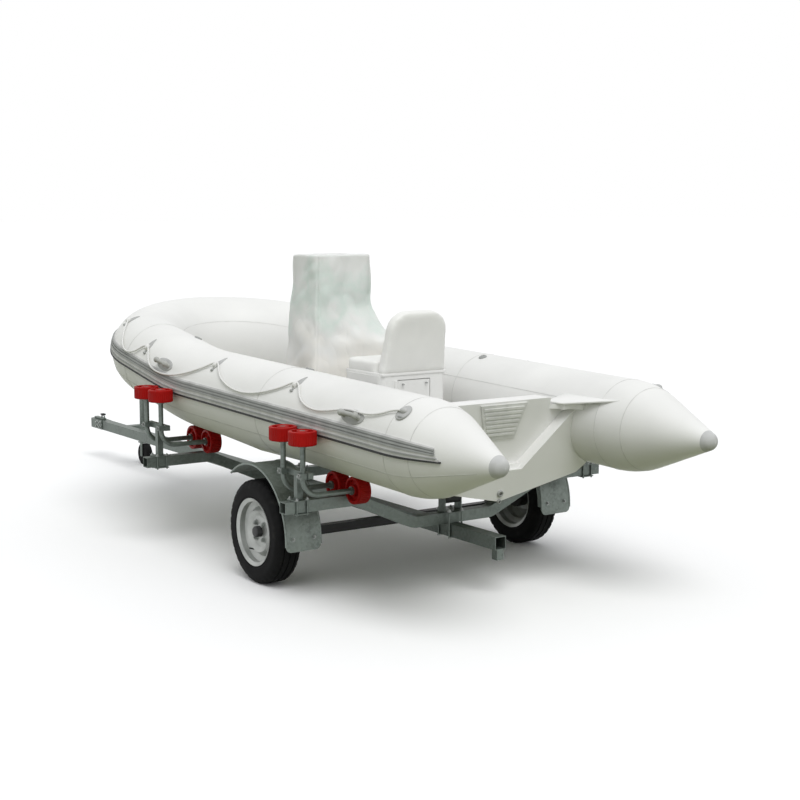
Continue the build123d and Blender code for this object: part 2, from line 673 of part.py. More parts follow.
pin = Pos(hinge_x, hinge_y, door_z[0]) * extrude(Circle(HINGE_PIN_R), DOOR_HEIGHT)
for low_z in (door_z[0], door_z[1] - knuckle):
    seat_box += hinge_knuckle(low_z, low_z + knuckle, hinge_y + HINGE_REACH)
parts["seat_box"] = seat_box + pin
door = block((seat_aft_x, seat_aft_x + DOOR_THICK), door_y, door_z)
door_knuckle_z = widened(door_z, -knuckle - HINGE_END_GAP)
door += hinge_knuckle(*door_knuckle_z, hinge_y - HINGE_REACH)
door -= Pos(hinge_x, hinge_y, door_z[0]) * extrude(Circle(HINGE_PIN_R + WHEEL_GAP), DOOR_HEIGHT)
parts["locker_door"] = door
back_lean = radians(BACK_RAKE)
cushion_x = (seat_aft_x + BACK_THICK / cos(back_lean) + CUSHION_GAP, seat_fore_x)
cushion = block(cushion_x, seat_y, (SEAT_BOX_Z, SEAT_BOX_Z + CUSHION_THICK))
parts["seat_cushion"] = fillet(cushion.edges().filter_by(Axis.Z), SEAT_CORNER_R)
back_height = (BACK_TOP_Z - SEAT_BOX_Z) / cos(back_lean)
back_outline = [
    (-SEAT_WIDTH / 2, -BACK_ROOT), (SEAT_WIDTH / 2, -BACK_ROOT),
    (BACK_TOP_HALF, back_height), (-BACK_TOP_HALF, back_height),
]
back_face = make_face(Polyline(*back_outline, close=True))
back_face = fillet(back_face.vertices().group_by(Axis.Y)[-1], BACK_CORNER_R)
back_plane = Plane(
    origin=(seat_aft_x, 0, SEAT_BOX_Z), x_dir=(0, 1, 0), z_dir=(cos(back_lean), 0, sin(back_lean)))
box_below = block((seat_aft_x - SEAT_LENGTH, seat_fore_x), (-SEAT_WIDTH, SEAT_WIDTH), (DECK_Z, SEAT_BOX_Z))
parts["seat_backrest"] = extrude(back_plane * back_face, BACK_THICK) - box_below

# Spine: a straight square tube, open at its tail
spine_start = Plane(origin=(SPINE_TAIL_X, 0, SPINE_Z), x_dir=(0, 0, 1), z_dir=(1, 0, 0))
parts["spine"], _ = bent_bar(square_tube(SPINE_SIZE, SPINE_WALL), spine_start, [(COUPLING_X - SPINE_TAIL_X,)])

# Gull-wing cross beams on top of the spine
beam_z = SPINE_Z + SPINE_SIZE / 2 + BEAM_SIZE / 2


def cross_beam(x):
    """A beam that lies flat over the spine and lifts to a level end on each side."""
    start = Plane(origin=(x, 0, beam_z), x_dir=(0, 0, 1), z_dir=(0, 1, 0))
    steps = [
        (BEAM_FLAT_HALF,), (BEAM_BEND_R, BEAM_SLOPE, UP), (BEAM_SLOPE_RUN,), (BEAM_BEND_R, BEAM_SLOPE, DOWN),
    ]
    half, end = bent_bar(square_tube(BEAM_SIZE, BEAM_WALL), start, steps)
    tip, end = bent_bar(square_tube(BEAM_SIZE, BEAM_WALL), end, [(BEAM_END_Y - end.origin.Y,)])
    half += tip
    return half + mirror(half, about=MIRROR), end.origin.Z


parts["rear_beam"], beam_end_z = cross_beam(REAR_BEAM_X)
parts["front_beam"], _ = cross_beam(FRONT_BEAM_X)

# Axle: a square tube under the spine, a trailing arm and stub on each end
axle_z = SPINE_Z - SPINE_SIZE / 2 - AXLE_SIZE / 2
axle_tube_x = AXLE_X + ARM_LENGTH
axle_half = TRACK_HALF - TYRE_WIDTH / 2 - WHEEL_INSIDE_GAP - ARM_THICK
parts["axle_tube"] = block(
    (axle_tube_x - AXLE_SIZE / 2, axle_tube_x + AXLE_SIZE / 2), (-axle_half, axle_half),
    (axle_z - AXLE_SIZE / 2, axle_z + AXLE_SIZE / 2))
arm_angle = degrees(atan2(TYRE_R - axle_z, -ARM_LENGTH))
arm_plane = Plane(origin=(axle_tube_x, axle_half, axle_z), x_dir=(1, 0, 0), z_dir=(0, 1, 0))
arm_run = hypot(ARM_LENGTH, TYRE_R - axle_z)
arm_face = Rot(0, 0, -arm_angle) * SlotCenterToCenter(arm_run, AXLE_SIZE + 2 * ARM_EDGE)
arm_middle = Pos(-ARM_LENGTH / 2, -(TYRE_R - axle_z) / 2, 0)
arm = extrude(arm_plane * (arm_middle * arm_face), ARM_THICK)
stub_y = axle_half + ARM_THICK
stub_length = TRACK_HALF + STUB_OUT - stub_y
stub = Plane(origin=(AXLE_X, stub_y, TYRE_R), z_dir=(0, 1, 0)) * extrude(Circle(STUB_R), stub_length)
parts["axle_arms"] = both_sides(arm + stub)

# Wheels, revolved about the stub: hub, pressed steel rim and tyre
WHEEL_FRAME = Plane(origin=(AXLE_X, TRACK_HALF, TYRE_R), x_dir=(0, 0, 1), z_dir=(0, 1, 0))
ALONG_STUB = Plane(origin=(0, 0, 0), x_dir=(1, 0, 0), z_dir=(0, -1, 0))


def turned_ring(outline):
    """A closed outline of (radius, distance outboard) points, turned about the wheel's axis."""
    return WHEEL_FRAME.location * revolve(ALONG_STUB * make_face(Polyline(*outline, close=True)), Axis.Z)


half_w = TYRE_WIDTH / 2
tyre_half = [
    (RIM_BEAD_R + SEAT_GAP, half_w - TYRE_BEAD_EDGE), (RIM_R + SEAT_GAP, half_w - TYRE_BEAD_EDGE / 2),
    (TYRE_R - TYRE_WALL_DROP, half_w), (TYRE_R - TYRE_SHOULDER_DROP, half_w - TYRE_SHOULDER_EDGE),
    (TYRE_R, half_w - TYRE_CROWN_EDGE),
]
tyre = turned_ring(tyre_half + [(r, -out) for r, out in reversed(tyre_half)])
flange_out = half_w - RIM_FLANGE / 2
barrel = [
    (RIM_R, -flange_out), (RIM_R, -flange_out + RIM_FLANGE), (RIM_BEAD_R, -flange_out + RIM_LIP),
    (RIM_BEAD_R, -RIM_WELL_IN - RIM_RAMP), (RIM_WELL_R, -RIM_WELL_IN), (RIM_WELL_R, RIM_WELL_OUT),
    (RIM_BEAD_R, RIM_WELL_OUT + RIM_RAMP), (RIM_BEAD_R, flange_out - RIM_LIP),
    (RIM_R, flange_out - RIM_FLANGE), (RIM_R, flange_out),
]
barrel_inside = [
    (RIM_BEAD_R - RIM_WALL, flange_out - RIM_LIP), (RIM_BEAD_R - RIM_WALL, RIM_WELL_OUT + RIM_RAMP),
    (RIM_WELL_R - RIM_WALL, RIM_WELL_OUT), (RIM_WELL_R - RIM_WALL, -RIM_WELL_IN),
    (RIM_BEAD_R - RIM_WALL, -RIM_WELL_IN - RIM_RAMP), (RIM_BEAD_R - RIM_WALL, -flange_out + RIM_LIP),
]
dish_face = [
    (RIM_WELL_R - RIM_WALL, RIM_WELL_OUT), (DISH_CREST_R, DISH_CREST_OUT), (NAVE_R, NAVE_OUT),
    (NAVE_BORE_R, NAVE_OUT),
]
dish_back = [(r, out - RIM_WALL) for r, out in reversed(dish_face)]
rim = turned_ring(barrel + barrel_inside) + turned_ring(dish_face + dish_back)
hub_face_out = NAVE_OUT - RIM_WALL
hub = turned_ring([
    (STUB_R + WHEEL_GAP, -HUB_IN), (HUB_R, -HUB_IN), (HUB_R, hub_face_out), (HUB_CAP_R, hub_face_out),
    (HUB_CAP_R, HUB_CAP_OUT), (STUB_R + WHEEL_GAP, HUB_CAP_OUT),
])
for name, solid in (("tyre", tyre), ("rim", rim), ("hub", hub)):
    parts[name + "_port"], parts[name + "_starboard"] = both_sides(solid)

# Mudguards: a rolled arch with a flat flap behind, an inner skirt, and a stay up from the axle tube
guard_plane = Plane(origin=(AXLE_X, axle_half, TYRE_R), x_dir=(1, 0, 0), z_dir=(0, 1, 0))
guard_width = TRACK_HALF + GUARD_OUT - axle_half
guard_outer = GUARD_R + GUARD_THICK
skirt_inner = GUARD_R - GUARD_SKIRT


def guard_point(radius, angle):
    """A point round the wheel on the guard's plane, where +x is forward and angles lift from forward."""
    return (radius * cos(radians(angle)), -radius * sin(radians(angle)))


def guard_arch(inner_r):
    """The arch between its front edge and the top of the flap, from an inner radius out to its skin."""
    inner = [guard_point(inner_r, angle) for angle in (180, 90, GUARD_FRONT_ANGLE)]
    outer = [guard_point(guard_outer, angle) for angle in (GUARD_FRONT_ANGLE, 90, 180)]
    return make_face([
        ThreePointArc(*inner), Line(inner[-1], outer[0]), ThreePointArc(*outer), Line(outer[-1], inner[0])])


flap = Pos(-GUARD_R - GUARD_THICK / 2, FLAP_DROP / 2) * Rectangle(GUARD_THICK, FLAP_DROP)
flap_plate = extrude(guard_plane * flap, guard_width)
flap_plate = fillet(flap_plate.edges().filter_by(Axis.X).group_by(Axis.Z)[0], FLAP_CORNER_R)
guard = extrude(guard_plane * guard_arch(GUARD_R), guard_width) + flap_plate
guard += extrude(guard_plane * guard_arch(skirt_inner), GUARD_THICK)
parts["mudguard_port"], parts["mudguard_starboard"] = both_sides(guard)
parts["guard_stays"] = both_sides(block(
    (axle_tube_x - AXLE_SIZE / 2, axle_tube_x + AXLE_SIZE / 2), (axle_half - STAY_THICK, axle_half),
    (axle_z + AXLE_SIZE / 2, TYRE_R + skirt_inner)))

# Coupling head: side plates on the spine, a rounded nose and a socket for the tow ball
nose_width = SPINE_SIZE + 2 * COUPLING_PLATE
nose_centre = NOSE_X - nose_width / 2
head_face = Pos((COUPLING_X + nose_centre) / 2, 0) * Rectangle(nose_centre - COUPLING_X, nose_width)
head_face += Pos(nose_centre, 0) * Circle(nose_width / 2)
head = extrude(Plane.XY.offset(SPINE_Z - SPINE_SIZE / 2) * head_face, SPINE_SIZE)
socket_spot = Pos(nose_centre, 0, SPINE_Z - SPINE_SIZE / 2 + SOCKET_DEPTH)
head -= socket_spot * Sphere(BALL_R)
head -= socket_spot * Pos(0, 0, -SOCKET_DEPTH) * extrude(Circle(BALL_R), SOCKET_DEPTH)
plate_x = (COUPLING_X - PLATE_LENGTH, COUPLING_X)
spine_z = (SPINE_Z - SPINE_SIZE / 2, SPINE_Z + SPINE_SIZE / 2)
for side in (-1, 1):
    plate_y = sorted((side * SPINE_SIZE / 2, side * nose_width / 2))
    head += block(plate_x, plate_y, spine_z)
parts["coupling_head"] = head
lever_x = (COUPLING_X - LEVER_LENGTH, nose_centre)
parts["coupling_lever"] = block(lever_x, (-LEVER_HALF, LEVER_HALF), (spine_z[1], spine_z[1] + LEVER_THICK))

# Bracket that hangs under the tail
parts["tail_bracket"] = block(
    (SPINE_TAIL_X, SPINE_TAIL_X + TAIL_BRACKET_LENGTH), (-TAIL_BRACKET_HALF, TAIL_BRACKET_HALF),
    (SPINE_Z - SPINE_SIZE / 2 - TAIL_BRACKET_DROP, SPINE_Z - SPINE_SIZE / 2))

# Keel roller in its bracket on the rear beam
mid_x, mid_keel = HULL_STATIONS[1][:2]
keel_z = aft_keel_z + (mid_keel - aft_keel) * (REAR_BEAM_X - KEEL_AFT_X) / (mid_x - KEEL_AFT_X)
keel_roller_z = keel_z - ROLLER_GAP - KEEL_ROLLER_R
beam_top_z = beam_z + BEAM_SIZE / 2
bracket = []
ear_x = (REAR_BEAM_X - BEAM_SIZE / 2, REAR_BEAM_X + BEAM_SIZE / 2)
for side in (-1, 1):
    ear_y = sorted((side * KEEL_ROLLER_HALF, side * (KEEL_ROLLER_HALF + KEEL_EAR)))
    ear_y = [value + side * KEEL_EAR_GAP for value in ear_y]
    bracket.append(block(ear_x, ear_y, (beam_top_z, keel_roller_z + KEEL_PIN_R * 2)))
pin_half = KEEL_ROLLER_HALF + KEEL_EAR_GAP + KEEL_EAR
keel_pin_plane = Plane(origin=(REAR_BEAM_X, -pin_half, keel_roller_z), z_dir=(0, 1, 0))
parts["keel_bracket"] = bracket[0] + bracket[1] + keel_pin_plane * extrude(Circle(KEEL_PIN_R), 2 * pin_half)
keel_roller_plane = Plane(origin=(REAR_BEAM_X, -KEEL_ROLLER_HALF, keel_roller_z), z_dir=(0, 1, 0))
parts["keel_roller"] = keel_roller_plane * extrude(
    Circle(KEEL_ROLLER_R) - Circle(KEEL_PIN_R + ARM_FIT), 2 * KEEL_ROLLER_HALF)

# Jockey wheel: clamp and outer tube on the drawbar, sliding stem, swivel fork and wheel
fork_top_z = 2 * JOCKEY_R + FORK_HEADROOM
stem_low_z = fork_top_z + SWIVEL_GAP
clamp_z = spine_z[0] + CLAMP_RISE
jack_travel = clamp_z - stem_low_z - JACK_STOP_GAP
stem_top_z = clamp_z + STEM_ENGAGED
bore_top_z = stem_top_z + jack_travel + JACK_STOP_GAP
jockey_spot = Pos(JOCKEY_X, JOCKEY_Y, 0)
clamp = block(
    (JOCKEY_X - CLAMP_LENGTH / 2, JOCKEY_X + CLAMP_LENGTH / 2),
    (JOCKEY_Y - JOCKEY_TUBE_R - CLAMP_WALL, -SPINE_SIZE / 2), (clamp_z, clamp_z + CLAMP_HEIGHT))
outer_height = bore_top_z + JOCKEY_CAP - clamp_z
outer_tube = jockey_spot * Pos(0, 0, clamp_z) * extrude(Circle(JOCKEY_TUBE_R), outer_height)
bore = jockey_spot * Pos(0, 0, clamp_z) * extrude(Circle(JOCKEY_STEM_R + WHEEL_GAP), bore_top_z - clamp_z)
parts["jockey_clamp"] = clamp + outer_tube - bore
stem = extrude(Circle(JOCKEY_STEM_R), stem_top_z - stem_low_z)
parts["jockey_stem"] = jockey_spot * Pos(0, 0, stem_low_z) * stem
wheel_x = JOCKEY_X - JOCKEY_TRAIL
cheek_y = JOCKEY_WIDTH / 2 + JOCKEY_CHEEK_GAP
fork_half = cheek_y + JOCKEY_CHEEK
fork = block(
    (wheel_x - FORK_HALF_WIDTH, JOCKEY_X + JOCKEY_STEM_R), (JOCKEY_Y - fork_half, JOCKEY_Y + fork_half),
    (fork_top_z - FORK_CROWN, fork_top_z))
cheek_x = (wheel_x - FORK_HALF_WIDTH, wheel_x + FORK_HALF_WIDTH)
for side in (-1, 1):
    cheek = sorted((JOCKEY_Y + side * cheek_y, JOCKEY_Y + side * fork_half))
    fork += block(cheek_x, cheek, (JOCKEY_R - FORK_HALF_WIDTH, fork_top_z))
fork_pin = Plane(origin=(wheel_x, JOCKEY_Y - fork_half, JOCKEY_R), z_dir=(0, 1, 0))
fork += fork_pin * extrude(Circle(JOCKEY_PIN_R), 2 * fork_half)
parts["jockey_fork"] = fork
wheel_side = Plane(origin=(wheel_x, JOCKEY_Y - JOCKEY_WIDTH / 2, JOCKEY_R), z_dir=(0, 1, 0))
parts["jockey_wheel"] = wheel_side * extrude(
    Circle(JOCKEY_R) - Circle(JOCKEY_PIN_R + WHEEL_GAP), JOCKEY_WIDTH)

# Roller cradles: a post on each beam end, a fore-and-aft bar and two J arms with a roller on each end
slope_z = tan(rise)


def tube_axis_z(x):
    """Height of the straight air tube's middle at a station."""
    return TUBE_AFT_Z + (x - CONE_BASE_X) * slope_z


def tube_bottom_z(x):
    """Height of the straight air tube's underside at a station."""
    return tube_axis_z(x) - TUBE_R / cos(rise)


roller_half = [
    (ARM_R + ARM_FIT, 0), (ROLLER_HUB_R, 0), (ROLLER_HUB_R, ROLLER_RECESS), (ROLLER_WEB_R, ROLLER_RECESS),
    (ROLLER_WEB_R, 0), (ROLLER_R - ROLLER_EDGE, 0), (ROLLER_R, ROLLER_EDGE),
]
roller_outline = roller_half + [(r, ROLLER_WIDTH - along) for r, along in reversed(roller_half)]
roller = revolve(Plane.XZ * make_face(Polyline(*roller_outline, close=True)), Axis.Z)
post_low = beam_end_z + BEAM_SIZE / 2
roll_y = TUBE_Y + TUBE_R + SEAT_GAP + STRAKE_BEAD + ROLLER_GAP + ROLLER_R
bar_y = (roll_y - ARM_R - CRADLE_BAR, roll_y - ARM_R)
posts = []
arms = []
side_rollers = []
bottom_rollers = []
for beam_x in (REAR_BEAM_X, FRONT_BEAM_X):
    roll_z = tube_axis_z(beam_x) - SIDE_ROLLER_DROP
    under_z = tube_bottom_z(beam_x - CRADLE_SPACING / 2 - ROLLER_R) - ROLLER_GAP - ROLLER_R
    bar_z = under_z + ARM_BEND_R
    bar_half = CRADLE_SPACING / 2 + CRADLE_BAR
    post_x = (beam_x - POST_SIZE / 2, beam_x + POST_SIZE / 2)
    post = block(post_x, (bar_y[1] - POST_SIZE, bar_y[1]), (post_low, bar_z))
    bar = block((beam_x - bar_half, beam_x + bar_half), bar_y, (bar_z, bar_z + CRADLE_BAR))
    cradle = post + bar
    for arm_x in (beam_x - CRADLE_SPACING / 2, beam_x + CRADLE_SPACING / 2):
        clamp_half = ARM_R + ARM_CLAMP
        clamp_x = (arm_x - clamp_half, arm_x + clamp_half)
        cradle += block(clamp_x, (bar_y[1], roll_y + clamp_half), (bar_z, bar_z + CRADLE_BAR))
        cradle -= Pos(arm_x, roll_y, bar_z) * extrude(Circle(ARM_R + ARM_FIT), CRADLE_BAR)
        side_rollers += both_sides(Pos(arm_x, roll_y, roll_z - ROLLER_WIDTH / 2) * roller)
        under = Plane(origin=(arm_x, TUBE_Y - ROLLER_WIDTH / 2, under_z), z_dir=(0, 1, 0))
        bottom_rollers += both_sides(under * roller)
        arm_top = Plane(origin=(arm_x, roll_y, roll_z + ROLLER_WIDTH / 2), x_dir=(0, 1, 0), z_dir=(0, 0, -1))
        drop = arm_top.origin.Z - under_z - ARM_BEND_R
        run = roll_y - ARM_BEND_R - (TUBE_Y - ROLLER_WIDTH / 2)
        arm_rod, _ = bent_bar(Circle(ARM_R), arm_top, [(drop,), (ARM_BEND_R, 90, DOWN), (run,)])
        arms += both_sides(arm_rod)
    posts += both_sides(cradle)
parts["cradle_posts"] = posts
parts["cradle_arms"] = arms
parts["side_rollers"] = side_rollers
parts["bottom_rollers"] = bottom_rollers

os.makedirs("parts", exist_ok=True)
for node, shape in parts.items():
    if isinstance(shape, list):
        shape = Compound(children=shape)
    export_step(shape, f"parts/{node}.step")
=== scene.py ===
"""Dresses a rigid inflatable boat that stands on its roller trailer."""
import json
import logging
import math
from dataclasses import dataclass
from enum import Enum

import bmesh
import bpy
from mathutils import Matrix, Vector, noise


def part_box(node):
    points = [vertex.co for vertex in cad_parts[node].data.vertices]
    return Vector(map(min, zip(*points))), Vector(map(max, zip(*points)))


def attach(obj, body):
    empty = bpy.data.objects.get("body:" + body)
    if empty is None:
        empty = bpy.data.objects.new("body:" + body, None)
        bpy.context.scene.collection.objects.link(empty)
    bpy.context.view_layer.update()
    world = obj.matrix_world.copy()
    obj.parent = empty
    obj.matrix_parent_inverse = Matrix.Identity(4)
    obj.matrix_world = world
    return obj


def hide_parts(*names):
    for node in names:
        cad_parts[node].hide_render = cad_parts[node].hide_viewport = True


log = logging.getLogger("boat")
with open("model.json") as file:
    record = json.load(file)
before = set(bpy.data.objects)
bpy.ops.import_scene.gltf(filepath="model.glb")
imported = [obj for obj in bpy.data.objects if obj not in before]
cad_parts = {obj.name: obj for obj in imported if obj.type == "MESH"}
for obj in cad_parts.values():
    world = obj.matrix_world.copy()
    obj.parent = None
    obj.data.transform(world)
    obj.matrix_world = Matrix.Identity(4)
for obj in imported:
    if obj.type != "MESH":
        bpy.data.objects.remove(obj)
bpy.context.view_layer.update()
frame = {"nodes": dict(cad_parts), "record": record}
HULL_BODY = "boat_on_trailer"
MIDDLE_PLANE = Matrix.Scale(-1, 4, (0, 1, 0))
MM = 0.001
WELD = 0.02 * MM
LOOSE_WELD = 0.05 * MM
NODE_WELD = 0.01 * MM

Colour = tuple[float, float, float]


class Side(Enum):
    """The two sides of the boat, by the sign of Y."""

    PORT = 1
    STARBOARD = -1

    @property
    def label(self) -> str:
        """The side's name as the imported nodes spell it."""
        return self.name.lower()


class Sheet:
    """A material's node tree around one Principled shader, with short ways to add nodes."""

    def __init__(self, name: str, colour: Colour, roughness: float, metallic: float = 0.0) -> None:
        """Starts the material with plain values on the shader's own sockets.

        Args:
            name: The material's name.
            colour: Its base colour.
            roughness: Its roughness.
            metallic: 1 for bare metal, 0 for what isn't metal.
        """
        self.material = bpy.data.materials.new(name)
        self.material.use_nodes = True
        self.nodes = self.material.node_tree.nodes
        self.links = self.material.node_tree.links
        self.shader = self.nodes["Principled BSDF"]
        self.set("Base Color", (*colour, 1.0))
        self.set("Roughness", roughness)
        self.set("Metallic", metallic)
        self.coords = self.nodes.new("ShaderNodeTexCoord").outputs["Object"]

    def set(self, socket: str, value: object) -> None:
        """Writes one value on the shader."""
        self.shader.inputs[socket].default_value = value

    def feed(self, source: object, socket: str) -> None:
        """Links an output to one of the shader's sockets."""
        self.links.new(source, self.shader.inputs[socket])

    def scaled(self, scale: Colour) -> object:
        """The object coordinates, stretched on each axis.

        Args:
            scale: Factor on each axis.

        Returns:
            The mapping node's vector output.
        """
        mapping = self.nodes.new("ShaderNodeMapping")
        mapping.inputs["Scale"].default_value = scale
        self.links.new(self.coords, mapping.inputs["Vector"])
        return mapping.outputs["Vector"]

    def noise(self, scale: float, detail: float = 4.0, vector: object = None) -> object:
        """A noise value over the surface.

        Args:
            scale: Features per metre.
            detail: Octaves of finer noise.
            vector: Coordinates, or None for the object's own.

        Returns:
            The noise node's value output.
        """
        node = self.nodes.new("ShaderNodeTexNoise")
        node.inputs["Scale"].default_value = scale
        node.inputs["Detail"].default_value = detail
        self.links.new(vector or self.coords, node.inputs["Vector"])
        return node.outputs["Fac"]

    def cells(self, scale: float, output: str = "Distance") -> object:
        """A Voronoi pattern over the surface.

        Args:
            scale: Cells per metre.
            output: The name of the wanted output.

        Returns:
            That output of the node.
        """
        node = self.nodes.new("ShaderNodeTexVoronoi")
        node.inputs["Scale"].default_value = scale
        self.links.new(self.coords, node.inputs["Vector"])
        return node.outputs[output]

    def waves(self, scale: float, axis: str) -> object:
        """A sine wave along one axis.

        Args:
            scale: How close the bands lie.
            axis: The axis that they follow one another on.

        Returns:
            The wave node's value output.
        """
        node = self.nodes.new("ShaderNodeTexWave")
        node.bands_direction = axis
        node.inputs["Scale"].default_value = scale
        self.links.new(self.coords, node.inputs["Vector"])
        return node.outputs["Fac"]

    def ramp(self, value: object, stops: list[tuple[float, Colour]]) -> object:
        """Colours along a value.

        Args:
            value: The value output that picks the colour.
            stops: Pairs of place and colour, in order.

        Returns:
            The ramp's colour output.
        """
        node = self.nodes.new("ShaderNodeValToRGB")
        elements = node.color_ramp.elements
        for _ in stops[2:]:
            elements.new(0.5)
        for element, (place, colour) in zip(elements, stops):
            element.position = place
            element.color = (*colour, 1.0)
        self.links.new(value, node.inputs["Fac"])
        return node.outputs["Color"]

    def combine(self, operation: str, first: object, second: object) -> object:
        """Two values through one maths operation.

        Args:
            operation: The maths node's operation.
            first: The first value's output.
            second: The second value's output, or a plain number.

        Returns:
            The result's output.
        """
        node = self.nodes.new("ShaderNodeMath")
        node.operation = operation
        self.links.new(first, node.inputs[0])
        if isinstance(second, (int, float)):
            node.inputs[1].default_value = second
        else:
            self.links.new(second, node.inputs[1])
        return node.outputs["Value"]

    def span(self, value: object, low: float, high: float) -> object:
        """A value from 0 to 1 moved into a range.

        Args:
            value: The value's output.
            low: What 0 becomes.
            high: What 1 becomes.

        Returns:
            The moved value's output.
        """
        node = self.nodes.new("ShaderNodeMapRange")
        node.inputs["To Min"].default_value = low
        node.inputs["To Max"].default_value = high
        self.links.new(value, node.inputs["Value"])
        return node.outputs["Result"]

    def bump(self, height: object, strength: float, depth: float) -> None:
        """Adds a bump on top of the bumps before it.

        Args:
            height: The height's output.
            strength: Share of the bump that shows.
            depth: Its depth in metres.
        """
        node = self.nodes.new("ShaderNodeBump")
        node.inputs["Strength"].default_value = strength
        node.inputs["Distance"].default_value = depth
        self.links.new(height, node.inputs["Height"])
        before = self.shader.inputs["Normal"]
        if before.is_linked:
            self.links.new(before.links[0].from_socket, node.inputs["Normal"])
        self.links.new(node.outputs["Normal"], before)


def shade(colour: Colour, factor: float) -> Colour:
    """A colour made darker or lighter by a factor."""
    return tuple(min(1.0, channel * factor) for channel in colour)


@dataclass(frozen=True)
class CoatedFabric:
    """Coated tube fabric: a satin white with a fine weave and faint grime."""

    name: str
    colour: Colour
    weave_per_m: float = 260.0

    def material(self) -> bpy.types.Material:
        """Builds the node material.

        Returns:
            The finished material.
        """
        sheet = Sheet(self.name, self.colour, 0.48)
        sheet.set("Specular IOR Level", 0.45)
        grime = sheet.noise(2.4, 6.0)
        tones = [(0.3, shade(self.colour, 0.94)), (0.6, self.colour), (0.8, shade(self.colour, 1.03))]
        sheet.feed(sheet.ramp(grime, tones), "Base Color")
        sheet.feed(sheet.span(sheet.noise(9.0), 0.40, 0.56), "Roughness")
        weave = sheet.combine("ADD", sheet.waves(self.weave_per_m, "X"), sheet.waves(self.weave_per_m, "Z"))
        sheet.bump(weave, 0.10, 0.0004)
        sheet.bump(sheet.noise(3.5, 2.0), 0.10, 0.006)
        return sheet.material


@dataclass(frozen=True)
class MouldedRubber:
    """Matt moulded rubber with a fine grain and a dusty bloom."""

    name: str
    colour: Colour
    roughness: float = 0.62
    shine: float = 0.35

    def material(self) -> bpy.types.Material:
        """Builds the node material.

        Returns:
            The finished material.
        """
        sheet = Sheet(self.name, self.colour, self.roughness)
        sheet.set("Specular IOR Level", self.shine)
        bloom = sheet.noise(14.0, 5.0)
        tones = [(0.25, shade(self.colour, 0.82)), (0.55, self.colour), (0.85, shade(self.colour, 1.18))]
        sheet.feed(sheet.ramp(bloom, tones), "Base Color")
        sheet.bump(sheet.noise(420.0, 2.0), 0.18, 0.0006)
        return sheet.material


@dataclass(frozen=True)
class Gelcoat:
    """Glossy moulded gelcoat with slight waviness."""

    name: str
    colour: Colour
    roughness: float = 0.28

    def material(self) -> bpy.types.Material:
        """Builds the node material.

        Returns:
            The finished material.
        """
        sheet = Sheet(self.name, self.colour, self.roughness)
        sheet.set("Coat Weight", 0.25)
        sheet.set("Coat Roughness", 0.12)
        tones = [(0.3, shade(self.colour, 0.95)), (0.65, self.colour)]
        sheet.feed(sheet.ramp(sheet.noise(3.2, 5.0), tones), "Base Color")
        sheet.feed(sheet.span(sheet.noise(18.0), self.roughness - 0.05, self.roughness + 0.12), "Roughness")
        sheet.bump(sheet.noise(26.0, 1.0), 0.05, 0.002)
        return sheet.material


@dataclass(frozen=True)
class NonSlip:
    """Deck gelcoat with a moulded non-slip pattern."""

    name: str
    colour: Colour
    studs_per_m: float = 90.0

    def material(self) -> bpy.types.Material:
        """Builds the node material.

        Returns:
            The finished material.
        """
        sheet = Sheet(self.name, self.colour, 0.55)
        tones = [(0.3, shade(self.colour, 0.90)), (0.7, self.colour)]
        sheet.feed(sheet.ramp(sheet.noise(4.0, 6.0), tones), "Base Color")
        sheet.bump(sheet.cells(self.studs_per_m), 0.5, 0.002)
        return sheet.material


@dataclass(frozen=True)
class Galvanised:
    """Hot-dip galvanised steel: dull zinc with spangle and darker runs."""

    name: str
    colour: Colour
    spangle_per_m: float = 75.0

    def material(self) -> bpy.types.Material:
        """Builds the node material.

        Returns:
            The finished material.
        """
        sheet = Sheet(self.name, self.colour, 0.42, 0.75)
        spangle = sheet.cells(self.spangle_per_m, "Color")
        grey = sheet.nodes.new("ShaderNodeRGBToBW")
        sheet.links.new(spangle, grey.inputs["Color"])
        stain = sheet.noise(7.0, 6.0, sheet.scaled((1.0, 1.0, 0.35)))
        both = sheet.combine("ADD", sheet.combine("MULTIPLY", grey.outputs["Val"], 0.4), stain)
        tones = [(0.35, shade(self.colour, 0.66)), (0.65, self.colour), (1.0, shade(self.colour, 1.22))]
        sheet.feed(sheet.ramp(both, tones), "Base Color")
        sheet.feed(sheet.span(stain, 0.34, 0.62), "Roughness")
        sheet.bump(sheet.noise(60.0, 3.0), 0.12, 0.0015)
        return sheet.material


@dataclass(frozen=True)
class Paint:
    """Sprayed paint with dust in its hollows."""

    name: str
    colour: Colour
    roughness: float = 0.4
    metallic: float = 0.0

    def material(self) -> bpy.types.Material:
        """Builds the node material.

        Returns:
            The finished material.
        """
        sheet = Sheet(self.name, self.colour, self.roughness, self.metallic)
        tones = [(0.3, shade(self.colour, 0.75)), (0.6, self.colour), (0.9, shade(self.colour, 1.15))]
        sheet.feed(sheet.ramp(sheet.noise(11.0, 6.0), tones), "Base Color")
        sheet.feed(sheet.span(sheet.noise(34.0), self.roughness - 0.08, self.roughness + 0.15), "Roughness")
        sheet.bump(sheet.noise(120.0, 2.0), 0.08, 0.0008)
        return sheet.material


@dataclass(frozen=True)
class TyreRubber:
    """Black tyre rubber with road dust."""

    name: str
    colour: Colour

    def material(self) -> bpy.types.Material:
        """Builds the node material.

        Returns:
            The finished material.
        """
        sheet = Sheet(self.name, self.colour, 0.72)
        sheet.set("Specular IOR Level", 0.1)
        dust = sheet.noise(16.0, 7.0)
        tones = [(0.35, self.colour), (0.62, shade(self.colour, 1.5)), (0.9, (0.040, 0.038, 0.034))]
        sheet.feed(sheet.ramp(dust, tones), "Base Color")
        sheet.bump(sheet.noise(260.0, 3.0), 0.2, 0.0008)
        return sheet.material


